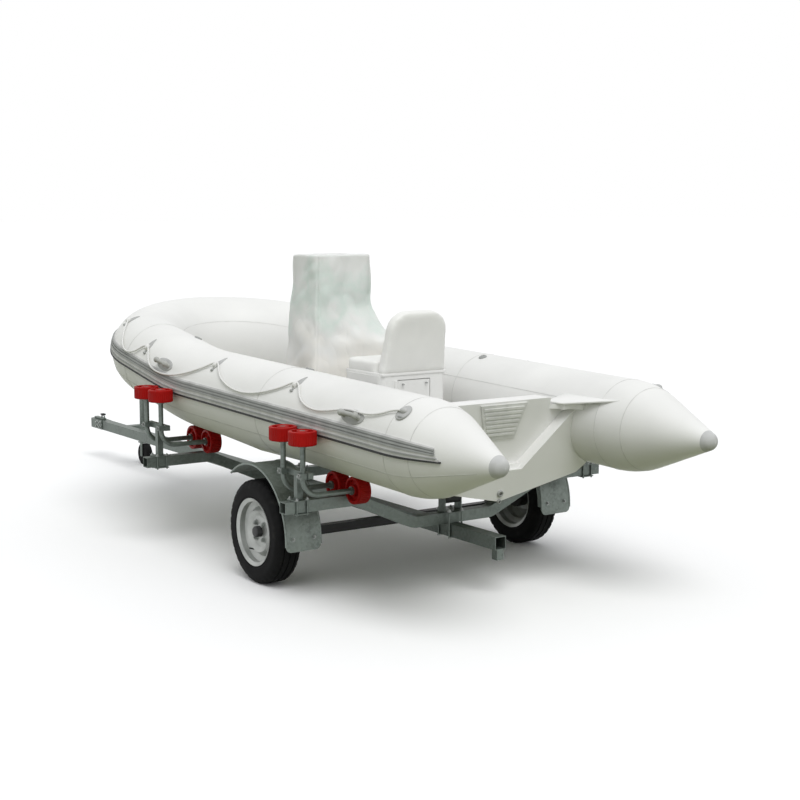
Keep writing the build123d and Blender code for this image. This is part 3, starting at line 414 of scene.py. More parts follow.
@dataclass(frozen=True)
class MilkyFilm:
    """Crinkled milky packing film that lets some light through, with a painted see-through tint: bluish above
    for the screen and greenery behind it, creamy below for the console behind it.
    """

    name: str
    colour: Colour
    # The next two are painted see-through tints, not the film's own colour; clear is the film's own milky
    # colour
    painted_see_through_cool: Colour = (0.78, 0.86, 0.81)
    painted_see_through_warm: Colour = (0.93, 0.91, 0.86)
    clear: Colour = (0.90, 0.905, 0.885)
    foot_z: float = 0.95
    top_z: float = 1.70

    # Columns: ridges per metre, strength, depth in metres
    WRINKLES = ((4.0, 0.8, 0.05), (9.0, 0.6, 0.022))

    def material(self) -> bpy.types.Material:
        """Builds the node material.

        Returns:
            The finished material.
        """
        sheet = Sheet(self.name, self.colour, 0.28)
        height = sheet.nodes.new("ShaderNodeSeparateXYZ")
        sheet.links.new(sheet.coords, height.inputs["Vector"])
        level = sheet.nodes.new("ShaderNodeMapRange")
        level.inputs["From Min"].default_value = self.foot_z
        level.inputs["From Max"].default_value = self.top_z
        sheet.links.new(height.outputs["Z"], level.inputs["Value"])
        mottle = sheet.combine("MULTIPLY", sheet.combine("SUBTRACT", sheet.noise(5.0, 4.0), 0.5), 1.3)
        # Painted see-through tint by height: creamy at the foot where the console shows through, bluish higher
        # up where the screen and greenery show through; the mottle is random tone
        tones = [(0.1, self.painted_see_through_warm), (0.45, self.clear), (0.7, self.painted_see_through_cool), (0.92, self.clear)]
        sheet.feed(sheet.ramp(sheet.combine("ADD", level.outputs["Result"], mottle), tones), "Base Color")
        sheet.feed(sheet.span(sheet.noise(22.0), 0.3, 0.45), "Roughness")
        sheet.set("Transmission Weight", 0.24)
        sheet.set("IOR", 1.03)
        sheet.set("Coat Weight", 0.3)
        sheet.set("Coat Roughness", 0.15)
        for scale, strength, depth in self.WRINKLES:
            wrinkle = sheet.noise(scale, 0.5, sheet.scaled((1.0, 1.3, 0.8)))
            ridge = sheet.combine("ABSOLUTE", sheet.combine("SUBTRACT", wrinkle, 0.5), 0.0)
            sheet.bump(ridge, strength, depth)
        return sheet.material


@dataclass(frozen=True)
class ClearAcrylic:
    """Clear screen plastic."""

    name: str
    colour: Colour

    def material(self) -> bpy.types.Material:
        """Builds the node material.

        Returns:
            The finished material.
        """
        sheet = Sheet(self.name, self.colour, 0.05)
        sheet.set("Transmission Weight", 0.9)
        sheet.set("IOR", 1.49)
        sheet.bump(sheet.noise(6.0, 1.0), 0.03, 0.002)
        return sheet.material


@dataclass(frozen=True)
class Vinyl:
    """Marine seat vinyl with a leather-like grain."""

    name: str
    colour: Colour

    def material(self) -> bpy.types.Material:
        """Builds the node material.

        Returns:
            The finished material.
        """
        sheet = Sheet(self.name, self.colour, 0.46)
        tones = [(0.3, shade(self.colour, 0.93)), (0.7, self.colour)]
        sheet.feed(sheet.ramp(sheet.noise(5.0, 5.0), tones), "Base Color")
        sheet.bump(sheet.cells(320.0), 0.18, 0.0006)
        sheet.bump(sheet.noise(9.0, 2.0), 0.12, 0.004)
        return sheet.material


@dataclass(frozen=True)
class RopeYarn:
    """Soft rope yarn with fine fibres."""

    name: str
    colour: Colour

    def material(self) -> bpy.types.Material:
        """Builds the node material.

        Returns:
            The finished material.
        """
        sheet = Sheet(self.name, self.colour, 0.85)
        sheet.set("Sheen Weight", 0.3)
        tones = [(0.3, shade(self.colour, 0.78)), (0.7, self.colour)]
        sheet.feed(sheet.ramp(sheet.noise(180.0, 4.0), tones), "Base Color")
        sheet.bump(sheet.noise(900.0, 3.0), 0.4, 0.0005)
        return sheet.material


class Finishes:
    """Every material of the set, made once."""

    def __init__(self) -> None:
        """Builds the materials."""
        self.tube = CoatedFabric("tube_fabric_white", (0.82, 0.82, 0.80)).material()
        self.seam = MouldedRubber("tube_seam_pale", (0.70, 0.70, 0.68)).material()
        self.grey = MouldedRubber("trim_rubber_grey", (0.35, 0.36, 0.35)).material()
        self.pale = MouldedRubber("trim_rubber_pale", (0.66, 0.66, 0.645)).material()
        self.dark = MouldedRubber("trim_rubber_dark", (0.022, 0.023, 0.024)).material()
        self.cap = MouldedRubber("cap_rubber_grey", (0.56, 0.565, 0.56)).material()
        self.grip = MouldedRubber("grip_rubber_grey", (0.44, 0.445, 0.42)).material()
        self.patch = MouldedRubber("patch_rubber_grey", (0.46, 0.465, 0.455)).material()
        self.gelcoat = Gelcoat("gelcoat_white", (0.83, 0.83, 0.81)).material()
        self.deck = NonSlip("deck_grip_grey", (0.74, 0.74, 0.72)).material()
        self.pad = MouldedRubber("motor_pad_pale", (0.72, 0.725, 0.70), 0.5).material()
        self.zinc = Galvanised("zinc_dull", (0.155, 0.18, 0.163)).material()
        self.sheet_zinc = Galvanised("zinc_sheet", (0.205, 0.235, 0.215)).material()
        self.black = Paint("axle_black", (0.016, 0.017, 0.017), 0.45).material()
        self.tyre = TyreRubber("tyre_black", (0.008, 0.008, 0.0085)).material()
        self.rim = Paint("rim_silver", (0.46, 0.475, 0.46), 0.36, 0.7).material()
        self.hub = Paint("hub_iron", (0.045, 0.046, 0.047), 0.5, 0.4).material()
        self.red = MouldedRubber("roller_red", (0.40, 0.007, 0.006), 0.42, 0.12).material()
        self.film = MilkyFilm("film_milky", (0.72, 0.73, 0.70)).material()
        self.clear = ClearAcrylic("screen_clear", (0.9, 0.93, 0.93)).material()
        self.vinyl = Vinyl("seat_vinyl_white", (0.87, 0.87, 0.84)).material()
        self.rope = RopeYarn("rope_white", (0.84, 0.84, 0.82)).material()
        self.bolt = Paint("bolt_zinc", (0.34, 0.36, 0.345), 0.36, 0.8).material()


def new_piece(name: str, mesh: bpy.types.Mesh, *materials: bpy.types.Material) -> bpy.types.Object:
    """Links a mesh as an object at the origin, with its materials and smooth faces.

    Args:
        name: The piece's name.
        mesh: The mesh, with its place in its vertices.
        materials: The material slots in order.

    Returns:
        The new object.
    """
    piece = bpy.data.objects.new(name, mesh)
    bpy.context.scene.collection.objects.link(piece)
    for material in materials:
        mesh.materials.append(material)
    for face in mesh.polygons:
        face.use_smooth = True
    return piece


def to_mesh(name: str, form: bmesh.types.BMesh) -> bpy.types.Mesh:
    """Writes a bmesh into a new mesh and frees it.

    Args:
        name: The mesh's name.
        form: The bmesh.

    Returns:
        The new mesh.
    """
    mesh = bpy.data.meshes.new(name)
    form.to_mesh(mesh)
    form.free()
    return mesh


def closed_piece(name: str, form: bmesh.types.BMesh, body: str, materials: list,
                 stands_for: tuple = (), sharp: float = 35.0) -> bpy.types.Object:
    """Turns a bmesh of closed shells into a piece that rides on a body.

    Args:
        name: The piece's name.
        form: The bmesh, which is freed.
        body: The body that it rides on.
        materials: The piece's materials in order.
        stands_for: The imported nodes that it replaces.
        sharp: Edges bent by more than this many degrees stay sharp.

    Returns:
        The new object.
    """
    bmesh.ops.recalc_face_normals(form, faces=form.faces[:])
    for edge in form.edges:
        if len(edge.link_faces) == 2:
            edge.smooth = edge.calc_face_angle() < math.radians(sharp)
    piece = new_piece(name, to_mesh(name, form), *materials)
    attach(piece, body)
    if stands_for:
        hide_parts(*stands_for)
    return piece


def verts_in(items: list) -> list[bmesh.types.BMVert]:
    """The vertices among the items that an operator gave back."""
    return [item for item in items if isinstance(item, bmesh.types.BMVert)]


def edges_in(items: list) -> list[bmesh.types.BMEdge]:
    """The edges among the items that an operator gave back."""
    return [item for item in items if isinstance(item, bmesh.types.BMEdge)]


def edges_of(verts: list) -> list[bmesh.types.BMEdge]:
    """Every edge that meets one of the vertices."""
    return list({edge for vertex in verts for edge in vertex.link_edges})


def capped(form: bmesh.types.BMesh) -> None:
    """Closes every open end in a bmesh."""
    bmesh.ops.holes_fill(form, edges=[edge for edge in form.edges if edge.is_boundary], sides=0)


def relaxed(form: bmesh.types.BMesh, verts: list, passes: int) -> None:
    """Evens out some vertices between their neighbours, a number of times."""
    for _ in range(passes):
        bmesh.ops.smooth_vert(form, verts=verts, factor=0.5, use_axis_x=True, use_axis_y=True,
                              use_axis_z=True)


def mirrored(form: bmesh.types.BMesh) -> None:
    """Adds the starboard copy of everything in a bmesh.

    Args:
        form: The bmesh, which holds the port side.
    """
    whole = form.verts[:] + form.edges[:] + form.faces[:]
    copy = bmesh.ops.duplicate(form, geom=whole)["geom"]
    bmesh.ops.transform(form, matrix=MIDDLE_PLANE, verts=verts_in(copy))


def aimed(place: Vector, direction: Vector) -> Matrix:
    """A frame at a place whose z axis points along a direction."""
    return Matrix.Translation(place) @ direction.to_track_quat("Z", "Y").to_matrix().to_4x4()


def marked(form: bmesh.types.BMesh, verts: list, slot: int) -> None:
    """Gives the faces of some vertices a material index."""
    for face in {face for vertex in verts for face in vertex.link_faces}:
        face.material_index = slot


def rod(form: bmesh.types.BMesh, start: Vector, end: Vector, radius: float, slot: int = 0,
        sides: int = 16) -> None:
    """Adds a round bar between two points.

    Args:
        form: The bmesh that gets it.
        start: The middle of one end.
        end: The middle of the other end.
        radius: Its radius.
        slot: Material index.
        sides: Faces round it.
    """
    along = end - start
    made = bmesh.ops.create_cone(
        form, cap_ends=True, segments=sides, radius1=radius, radius2=radius, depth=along.length,
        matrix=aimed((start + end) / 2, along))
    marked(form, made["verts"], slot)


def bolt(form: bmesh.types.BMesh, place: Vector, out: Vector, across: float, slot: int = 0) -> None:
    """Adds a washer, a hexagon nut and the end of its thread on a face.

    Args:
        form: The bmesh that gets them.
        place: The point on the face.
        out: The direction away from the face.
        across: The nut's size across its corners.
        slot: Material index.
    """
    out = out.normalized()
    # Columns: start, height, radius at foot and top, all in shares of the size across, and sides
    for start, height, foot, top, sides in (
            (0.0, 0.12, 0.75, 0.72, 20), (0.12, 0.45, 0.5, 0.47, 6), (0.57, 0.22, 0.26, 0.22, 12)):
        made = bmesh.ops.create_cone(
            form, cap_ends=True, segments=sides, radius1=foot * across, radius2=top * across,
            depth=height * across, matrix=aimed(place + out * (start + height / 2) * across, out))
        marked(form, made["verts"], slot)


def slab(form: bmesh.types.BMesh, middle: Vector, size: Vector, rounding: float, slot: int = 0) -> None:
    """Adds a block with rounded edges.

    Args:
        form: The bmesh that gets it.
        middle: Its middle.
        size: Its length on each axis.
        rounding: Width of the rounded edges.
        slot: Material index.
    """
    place = Matrix.Translation(middle) @ Matrix.Diagonal((*size, 1.0))
    made = bmesh.ops.create_cube(form, size=1.0, matrix=place)
    edges = edges_of(made["verts"])
    marked(form, made["verts"], slot)
    bmesh.ops.bevel(form, geom=edges, offset=rounding, segments=3, profile=0.5, affect="EDGES", material=-1)


def lathe(form: bmesh.types.BMesh, outline: list[tuple[float, float]], place: Matrix, steps: int,
          slot: int = 0) -> list[bmesh.types.BMVert]:
    """Spins a closed outline about a frame's z axis.

    Args:
        form: The bmesh that gets the ring.
        outline: Pairs of radius and height.
        place: The frame.
        steps: Steps in the full turn.
        slot: Material index.

    Returns:
        The ring's vertices.
    """
    before = set(form.verts)
    corners = [form.verts.new(place @ Vector((radius, 0, height))) for radius, height in outline]
    edges = [form.edges.new(pair) for pair in zip(corners, corners[1:] + corners[:1])]
    bmesh.ops.spin(form, geom=edges, cent=place.translation, axis=place.to_3x3() @ Vector((0, 0, 1)),
                   angle=math.tau, steps=steps, use_merge=True)
    made = [vertex for vertex in form.verts if vertex not in before]
    bmesh.ops.remove_doubles(form, verts=made, dist=WELD)
    made = [vertex for vertex in form.verts if vertex not in before]
    marked(form, made, slot)
    return made


@dataclass
class Collar:
    """The air tubes' centre line on the port side, as runs and bends, and the stern cone."""

    radius: float = 240 * MM
    half_beam: float = 650 * MM
    aft_z: float = 870.15 * MM
    rise: float = 1.4
    side_run: float = 2080 * MM
    elbow_radius: float = 3000 * MM
    bow_rise: float = 9.5
    shoulder_run: float = 440 * MM
    cone_shoulder: float = 590 * MM
    cone_angle: float = 22.5
    datum: float = 170 * MM
    slit: float = 0.05 * MM
    elbow_steps: int = 10
    bow_steps: int = 28
    ring_steps: int = 96

    def __post_init__(self) -> None:
        """Takes the tube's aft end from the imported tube."""
        low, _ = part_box("tube_port")
        self.aft_x = low.x + self.radius * math.sin(math.radians(self.rise))

    def axis_z(self, x: float) -> float:
        """Height of the straight tube's middle at a station."""
        return self.aft_z + (x - self.aft_x) * math.tan(math.radians(self.rise))

    def start(self) -> Matrix:
        """The section frame at the tube's aft end.

        Returns:
            The frame: x up, y inboard, z forward.
        """
        tilt = math.radians(self.rise)
        ahead = Vector((math.cos(tilt), 0, math.sin(tilt)))
        up = Vector((-math.sin(tilt), 0, math.cos(tilt)))
        turned = Matrix((up, ahead.cross(up), ahead)).transposed().to_4x4()
        return Matrix.Translation((self.aft_x, self.half_beam, self.aft_z)) @ turned

    def steps(self) -> list[tuple[float, float, Vector]]:
        """The runs and bends from the aft end to the middle of the bow.

        Returns:
            Rows of run length, or bend radius, bend angle in radians and the direction bent towards.
        """
        return [
            (self.side_run, 0.0, Vector()),
            (self.elbow_radius, math.radians(self.bow_rise - self.rise), Vector((1, 0, 0))),
            (self.shoulder_run, 0.0, Vector()),
            (self.half_beam, math.radians(90), Vector((0, 1, 0))),
        ]

    def at(self, run: float) -> Matrix:
        """The section frame somewhere along the tube.

        Args:
            run: Distance forward of the aft end, along the tube.

        Returns:
            The frame: x up, y inboard, z forward.
        """
        here = self.start()
        for size, angle, toward in self.steps():
            length = size * angle if angle else size
            share = min(1.0, run / length)
            if angle:
                here = self.moved(here, size, angle * share, toward)
            else:
                here = here @ Matrix.Translation((0, 0, size * share))
            run -= length
            if run <= 0:
                break
        return here

    @staticmethod
    def moved(here: Matrix, radius: float, angle: float, toward: Vector) -> Matrix:
        """The frame after a bend.

        Args:
            here: The frame before it.
            radius: Its radius.
            angle: Its angle in radians.
            toward: The local direction that it bends towards.

        Returns:
            The frame at its end.
        """
        axis = Vector((0, 0, 1)).cross(toward)
        pivot = Matrix.Translation(toward * radius)
        return here @ pivot @ Matrix.Rotation(angle, 4, axis) @ pivot.inverted()

    def point(self, run: float, angle: float, lift: float) -> Vector:
        """A point on the tube or off it.

        Args:
            run: Distance forward of the aft end, along the tube.
            angle: Degrees round the section, from the outer side's middle upwards.
            lift: Height off the tube.

        Returns:
            The point.
        """
        turn = math.radians(angle)
        reach = self.radius + lift
        return self.at(run) @ Vector((reach * math.sin(turn), -reach * math.cos(turn), 0))

    def out(self, run: float, angle: float) -> Vector:
        """The direction straight out of the tube at that run and angle."""
        return (self.point(run, angle, 1.0) - self.point(run, angle, 0.0)).normalized()

    def patch(self, form: bmesh.types.BMesh, run: float, angle: float, size: Vector, point: float = 0.0,
              fullness: float = 0.35, slot: int = 0) -> None:
        """Adds a pillow-edged patch that hugs the tube.

        Args:
            form: The bmesh that gets it.
            run: Its middle, forward of the aft end.
            angle: Its middle, in degrees above the outer side's middle.
            size: Length along the tube, width round it and height.
            point: Share by which its upper end narrows.
            fullness: Power of its profile, small for a flat top with a round edge.
            slot: Material index.
        """
        made = bmesh.ops.create_uvsphere(form, u_segments=40, v_segments=18, radius=1.0)["verts"]
        for vertex in made:
            along, across, height = vertex.co
            along *= 1 - point * max(0.0, across)
            lift = math.copysign(abs(height) ** fullness, height) * size.z
            turn = math.degrees(across * size.y / 2 / self.radius)
            vertex.co = self.point(run + along * size.x / 2, angle + turn, max(lift, -2 * MM))
        marked(form, made, slot)

    def band(self, form: bmesh.types.BMesh, low: float, high: float, inner: float, outer: float,
             slot: int, tail: float = 0.0, cuts: int = 3) -> None:
        """Sweeps a band that hugs the tube from the stern to the middle of the bow.

        Args:
            form: The bmesh that gets the band.
            low: Lower angle in degrees above the middle of the outer side.
            high: Upper angle in degrees.
            inner: Height of its back off the tube.
            outer: Height of its face off the tube.
            slot: Material index of its faces.
            tail: How far aft it runs on along the cone.
            cuts: Steps across its face.
        """
        before = set(form.faces)
        start = self.start()
        across = [low + (high - low) * step / cuts for step in range(cuts + 1)]
        rim = [(angle, outer) for angle in across] + [(angle, inner) for angle in reversed(across)]
        corners = []
        for angle, height in rim:
            turn, reach = math.radians(angle), self.radius + height
            spot = Vector((reach * math.sin(turn), -reach * math.cos(turn), 0))
            corners.append(form.verts.new(start @ spot))
        edges = [form.edges.new(pair) for pair in zip(corners, corners[1:] + corners[:1])]
        here = start
        for size, angle, toward in self.steps():
            if angle:
                axis = Vector((0, 0, 1)).cross(toward)
                steps = self.bow_steps if size == self.half_beam else self.elbow_steps
                edges = self.spin(form, edges, here, toward * size, axis, angle, steps)
                here = self.moved(here, size, angle, toward)
            else:
                grown = bmesh.ops.extrude_edge_only(form, edges=edges)["geom"]
                edges = [edge for edge in edges_in(grown) if edge.is_boundary]
                ahead = (here @ Vector((0, 0, size))) - here.translation
                bmesh.ops.translate(form, verts=verts_in(grown), vec=ahead)
                here = here @ Matrix.Translation((0, 0, size))
        if tail:
            self.cone_strip(form, low, high, inner, outer, tail, cuts)
        for face in form.faces:
            if face not in before:
                face.material_index = slot

    def cone_strip(self, form: bmesh.types.BMesh, low: float, high: float, inner: float, outer: float,
                   tail: float, cuts: int) -> None:
        """Adds a band on the port cone: an outline along the taper, spun about the tube's axis.

        Args:
            form: The bmesh that gets it.
            low: Lower angle in degrees above the middle of the outer side.
            high: Upper angle in degrees.
            inner: Height of its back off the cone.
            outer: Height of its face off the cone.
            tail: How far aft of the tube's end it runs.
            cuts: Steps across its face.
        """
        before = set(form.faces)
        start, turn, taper = self.start(), math.radians(low), math.radians(self.cone_angle)
        out, aft = Vector((math.sin(turn), -math.cos(turn), 0)), Vector((0, 0, -1))
        spots = [out * (self.radius + height) + aft * self.slit for height in (inner, outer)]
        edge = form.edges.new([form.verts.new(start @ spot) for spot in spots])
        hinge = out * (self.radius - self.cone_shoulder)
        last = self.spin(form, [edge], start, hinge, out.cross(aft), taper, 6)
        reach = (tail - self.cone_shoulder * math.sin(taper)) / math.cos(taper)
        grown = bmesh.ops.extrude_edge_only(form, edges=last)["geom"]
        along = aft * math.cos(taper) - out * math.sin(taper)
        bmesh.ops.translate(form, verts=verts_in(grown), vec=start.to_3x3() @ along * reach)
        strip = [face for face in form.faces if face not in before]
        bmesh.ops.spin(form, geom=strip, cent=start.translation, axis=start.to_3x3() @ Vector((0, 0, 1)),
                       angle=math.radians(high - low), steps=cuts, use_merge=False)

    def cone_radius(self, aft: float, lift: float) -> float:
        """The stern cone's radius.

        Args:
            aft: Distance aft of the tube's end.
            lift: Height off its skin.

        Returns:
            The radius there.
        """
        taper = math.radians(self.cone_angle)
        shoulder = self.cone_shoulder * math.sin(taper)
        if aft <= 0:
            return self.radius + lift
        if aft <= shoulder:
            turn = math.asin(aft / self.cone_shoulder)
            return self.radius - self.cone_shoulder * (1 - math.cos(turn)) + lift / math.cos(turn)
        drop = self.cone_shoulder * (1 - math.cos(taper)) + (aft - shoulder) * math.tan(taper)
        return self.radius - drop + lift / math.cos(taper)

    def ring(self, form: bmesh.types.BMesh, run: float, width: float, inner: float, outer: float,
             slot: int) -> None:
        """Adds a ring round the tube, or round its cone where the run is negative.

        Args:
            form: The bmesh that gets it.
            run: Distance forward of the aft end, along the tube.
            width: Its width along the tube.
            inner: Height of its back off the tube.
            outer: Height of its face off the tube.
            slot: Material index.
        """
        place = self.at(run)
        ends = (-width / 2, width / 2)
        rim = [(self.cone_radius(-run - end, outer), end) for end in ends]
        rim += [(self.cone_radius(-run - end, inner), end) for end in reversed(ends)]
        lathe(form, rim, place, self.ring_steps, slot)

    @staticmethod
    def spin(form: bmesh.types.BMesh, edges: list, here: Matrix, centre: Vector, axis: Vector,
             angle: float, steps: int) -> list:
        """Spins open edges about a local axis.

        Args:
            form: The bmesh that holds them.
            edges: The open edges.
            here: The frame that centre and axis are given in.
            centre: A point on the axis.
            axis: The axis.
            angle: The turn in radians.
            steps: Steps in it.

        Returns:
            The edges at the far end.
        """
        turn = here.to_3x3()
        grown = bmesh.ops.spin(
            form, geom=edges, cent=here @ centre, axis=turn @ axis, angle=angle, steps=steps, use_merge=False)
        return edges_in(grown["geom_last"])


@dataclass
class RubStrake:
    """The rub strake's ribs and stripes."""

    collar: Collar
    back: float = 0.5 * MM
    base: float = 6.5 * MM
    proud: float = 12.5 * MM
    tail: float = 296 * MM
    gap: float = 0.03

    def build(self, look: Finishes) -> bpy.types.Object:
        """Sweeps each stripe, mirrors it and joins it into one piece.

        Args:
            look: The set's finishes.

        Returns:
            The new piece.
        """
        form = bmesh.new()
        # Columns: lower and upper angle, height, material index, millimetres that its tail runs further aft
        stripes = [
            (-3.0, -0.6, self.proud, 2, 42),
            (-0.6, 2.4, self.base + 3 * MM, 1, 30),
            (2.4, 4.4, self.proud, 0, 20),
            (4.4, 8.0, self.base + 2 * MM, 1, 12),
            (8.0, 10.4, self.proud, 0, 8),
            (10.4, 11.6, self.base, 0, 6),
            (11.6, 14.0, self.proud, 0, 5),
            (14.0, 15.2, self.base, 0, 4),
            (15.2, 17.6, self.proud, 0, 2),
            (17.6, 20.0, self.base - 3 * MM, 1, 0),
        ]
        for low, high, height, slot, more in stripes:
            tail = self.tail + more * MM
            self.collar.band(form, low + self.gap, high - self.gap, self.back, height, slot, tail)
        mirrored(form)
        bmesh.ops.remove_doubles(form, verts=form.verts[:], dist=WELD)
        capped(form)
        return closed_piece("strake", form, HULL_BODY, [look.grey, look.pale, look.dark],
                            ("rub_strake",))


@dataclass
class TubeSeams:
    """Welded seams along and round the air tubes, and their inflation valves."""

    collar: Collar
    back: float = 0.2 * MM
    proud: float = 1.2 * MM
    width: float = 7 * MM
    low_angle: float = -26.6
    inner_angle: float = 150.0
    cone_tail: float = 505 * MM
    valve_radius: float = 24 * MM
    ring_share: float = 0.7

    RING_RUNS = (-170 * MM, -1 * MM, 1240 * MM, 2930 * MM)
    # Columns: run forward of the aft end, angle above the middle of the tube's outer side
    VALVES = ((1180 * MM, 106.0), (2600 * MM, 112.0))

    def build(self, look: Finishes) -> bpy.types.Object:
        """Sweeps the long seams, adds the rings and the valves, and mirrors them.

        Args:
            look: The set's finishes.

        Returns:
            The new piece.
        """
        form = bmesh.new()
        half = math.degrees(self.width / 2 / self.collar.radius)
        for angle, reach, tail in ((self.low_angle, half, self.cone_tail), (self.inner_angle, half / 2, 0.0)):
            self.collar.band(form, angle - reach, angle + reach, self.back, self.proud, 0, tail, 1)
        for run in self.RING_RUNS:
            self.collar.ring(form, run, self.width * self.ring_share, self.back, self.proud, 0)
        size = self.valve_radius
        cup = [(0.2 * size, -2 * MM), (size, -2 * MM), (size, 5 * MM), (0.8 * size, 8 * MM),
               (0.55 * size, 8 * MM), (0.5 * size, 4 * MM), (0.2 * size, 4 * MM)]
        for run, angle in self.VALVES:
            place = aimed(self.collar.point(run, angle, 0), self.collar.out(run, angle))
            lathe(form, cup, place, 32, 1)
            rod(form, place.translation, place @ Vector((0, 0, 7 * MM)), 0.25 * size, 1)
        mirrored(form)
        bmesh.ops.remove_doubles(form, verts=form.verts[:], dist=WELD)
        capped(form)
        return closed_piece("tube_seams", form, HULL_BODY, [look.seam, look.grey])


@dataclass
class RopeHolders:
    """Moulded leaf patches with a loop that the grab line threads through, and grey pads that paint the shade
    beside the loops.
    """

    collar: Collar

    # Columns: run forward of the datum, angle, size across and along the tube, the rope's angle, leaf point
    ROWS = [
        (1124, 57, 112, 44, 52, 0.75), (2029, 58, 112, 44, 53, 0.75), (2884, 44, 104, 42, 39.5, 0.75),
        (3345, 60, 100, 40, 55, 0.6),
    ]
    STERN = (127, 50, 92, 84)
    # Length along the tube, width round it and height, in millimetres
    LOOP = Vector((30, 40, 25))
    # CLIP is a grey pad below each loop that paints the shadow beside the loop
    CLIP = Vector((26, 16, 10))

    def build(self, look: Finishes) -> bpy.types.Object:
        """Lays every patch and its loop on the port tube and mirrors them.

        Args:
            look: The set's finishes.

        Returns:
            The new piece.
        """
        form = bmesh.new()
        for run, angle, across, along, rope, point in self.ROWS:
            here = run * MM - self.collar.datum
            self.collar.patch(form, here, angle, Vector((along, across, 7)) * MM, point, 0.4, 0)
            self.collar.patch(form, here, rope - 1, self.LOOP * MM, 0.2, 0.6, 1)
            # Slot 2: a grey pad below the loop, painted shadow beside the loop
            self.collar.patch(form, here, rope - 10, self.CLIP * MM, 0.0, 0.5, 2)
        run, angle, across, along = self.STERN
        here = run * MM - self.collar.datum
        self.collar.patch(form, here, angle, Vector((along, across, 8)) * MM, 0.0, 0.3, 0)
        bridge = Vector((along * 0.62, across * 0.34, 24)) * MM
        self.collar.patch(form, here - 4 * MM, angle + 1, bridge, 0.0, 0.6, 0)
        # Slot 2: a grey pad below the bridge, painted shade of the slit where the rope ends
        self.collar.patch(form, here - 8 * MM, angle - 7, Vector((along * 0.5, 12, 12)) * MM, 0.0, 0.5, 2)
        mirrored(form)
        # Slot 2 (trim grey) carries the painted-shade pads of the holders
        return closed_piece("holders", form, HULL_BODY, [look.patch, look.rope, look.grey],
                            ("rope_holders",), 60)


@dataclass
class CarryHandles:
    """Round grips with bulbous ends on a moulded patch."""

    collar: Collar
    axis_lift: float = 34 * MM
    grip_radius: float = 12 * MM
    knob_radius: float = 17 * MM
    knob_out: float = 63 * MM
    rings: int = 9

    # Columns: run forward of the datum, angle above the middle of the tube's outer side
    PLACES = [(481, 29.5), (2593, 30.0)]
    # Length along the tube, width round it and height, in millimetres
    PATCH = Vector((196, 74, 7))

    def build(self, look: Finishes) -> bpy.types.Object:
        """Lays the patches, feet and grips on the port tube and mirrors them.

        Args:
            look: The set's finishes.

        Returns:
            The new piece.
        """
        form = bmesh.new()
        for run, angle in self.PLACES:
            here = run * MM - self.collar.datum
            self.collar.patch(form, here, angle, self.PATCH * MM, 0.0, 0.22, 1)
            ends = [self.collar.point(here + side * self.knob_out, angle, self.axis_lift) for side in (-1, 1)]
            along = (ends[1] - ends[0]).normalized()
            for end in ends:
                foot = end - self.collar.out(here, angle) * (self.axis_lift - 2 * MM)
                rod(form, foot, end, self.knob_radius * 0.8, 0, 24)
                bmesh.ops.create_uvsphere(form, u_segments=24, v_segments=14, radius=self.knob_radius * 1.04,
                                          matrix=Matrix.Translation(end))
            self.grip(form, (ends[0] + ends[1]) / 2, along)
        mirrored(form)
        return closed_piece("handles", form, HULL_BODY, [look.grip, look.patch],
                            ("carry_handles",), 50)

    def grip(self, form: bmesh.types.BMesh, middle: Vector, along: Vector) -> None:
        """Turns the waisted grip with its finger rings.

        Args:
            form: The bmesh that gets it.
            middle: Its middle.
            along: The direction of its length.
        """
        half = self.knob_out
        outline = [(1 * MM, -half)]
        for step in range(self.rings * 2 + 1):
            swell = 1.06 if step % 2 else 0.94
            outline.append((self.grip_radius * swell, -half + half * step / self.rings))
        outline.append((1 * MM, half))
        lathe(form, outline, aimed(middle, along), 24, 0)


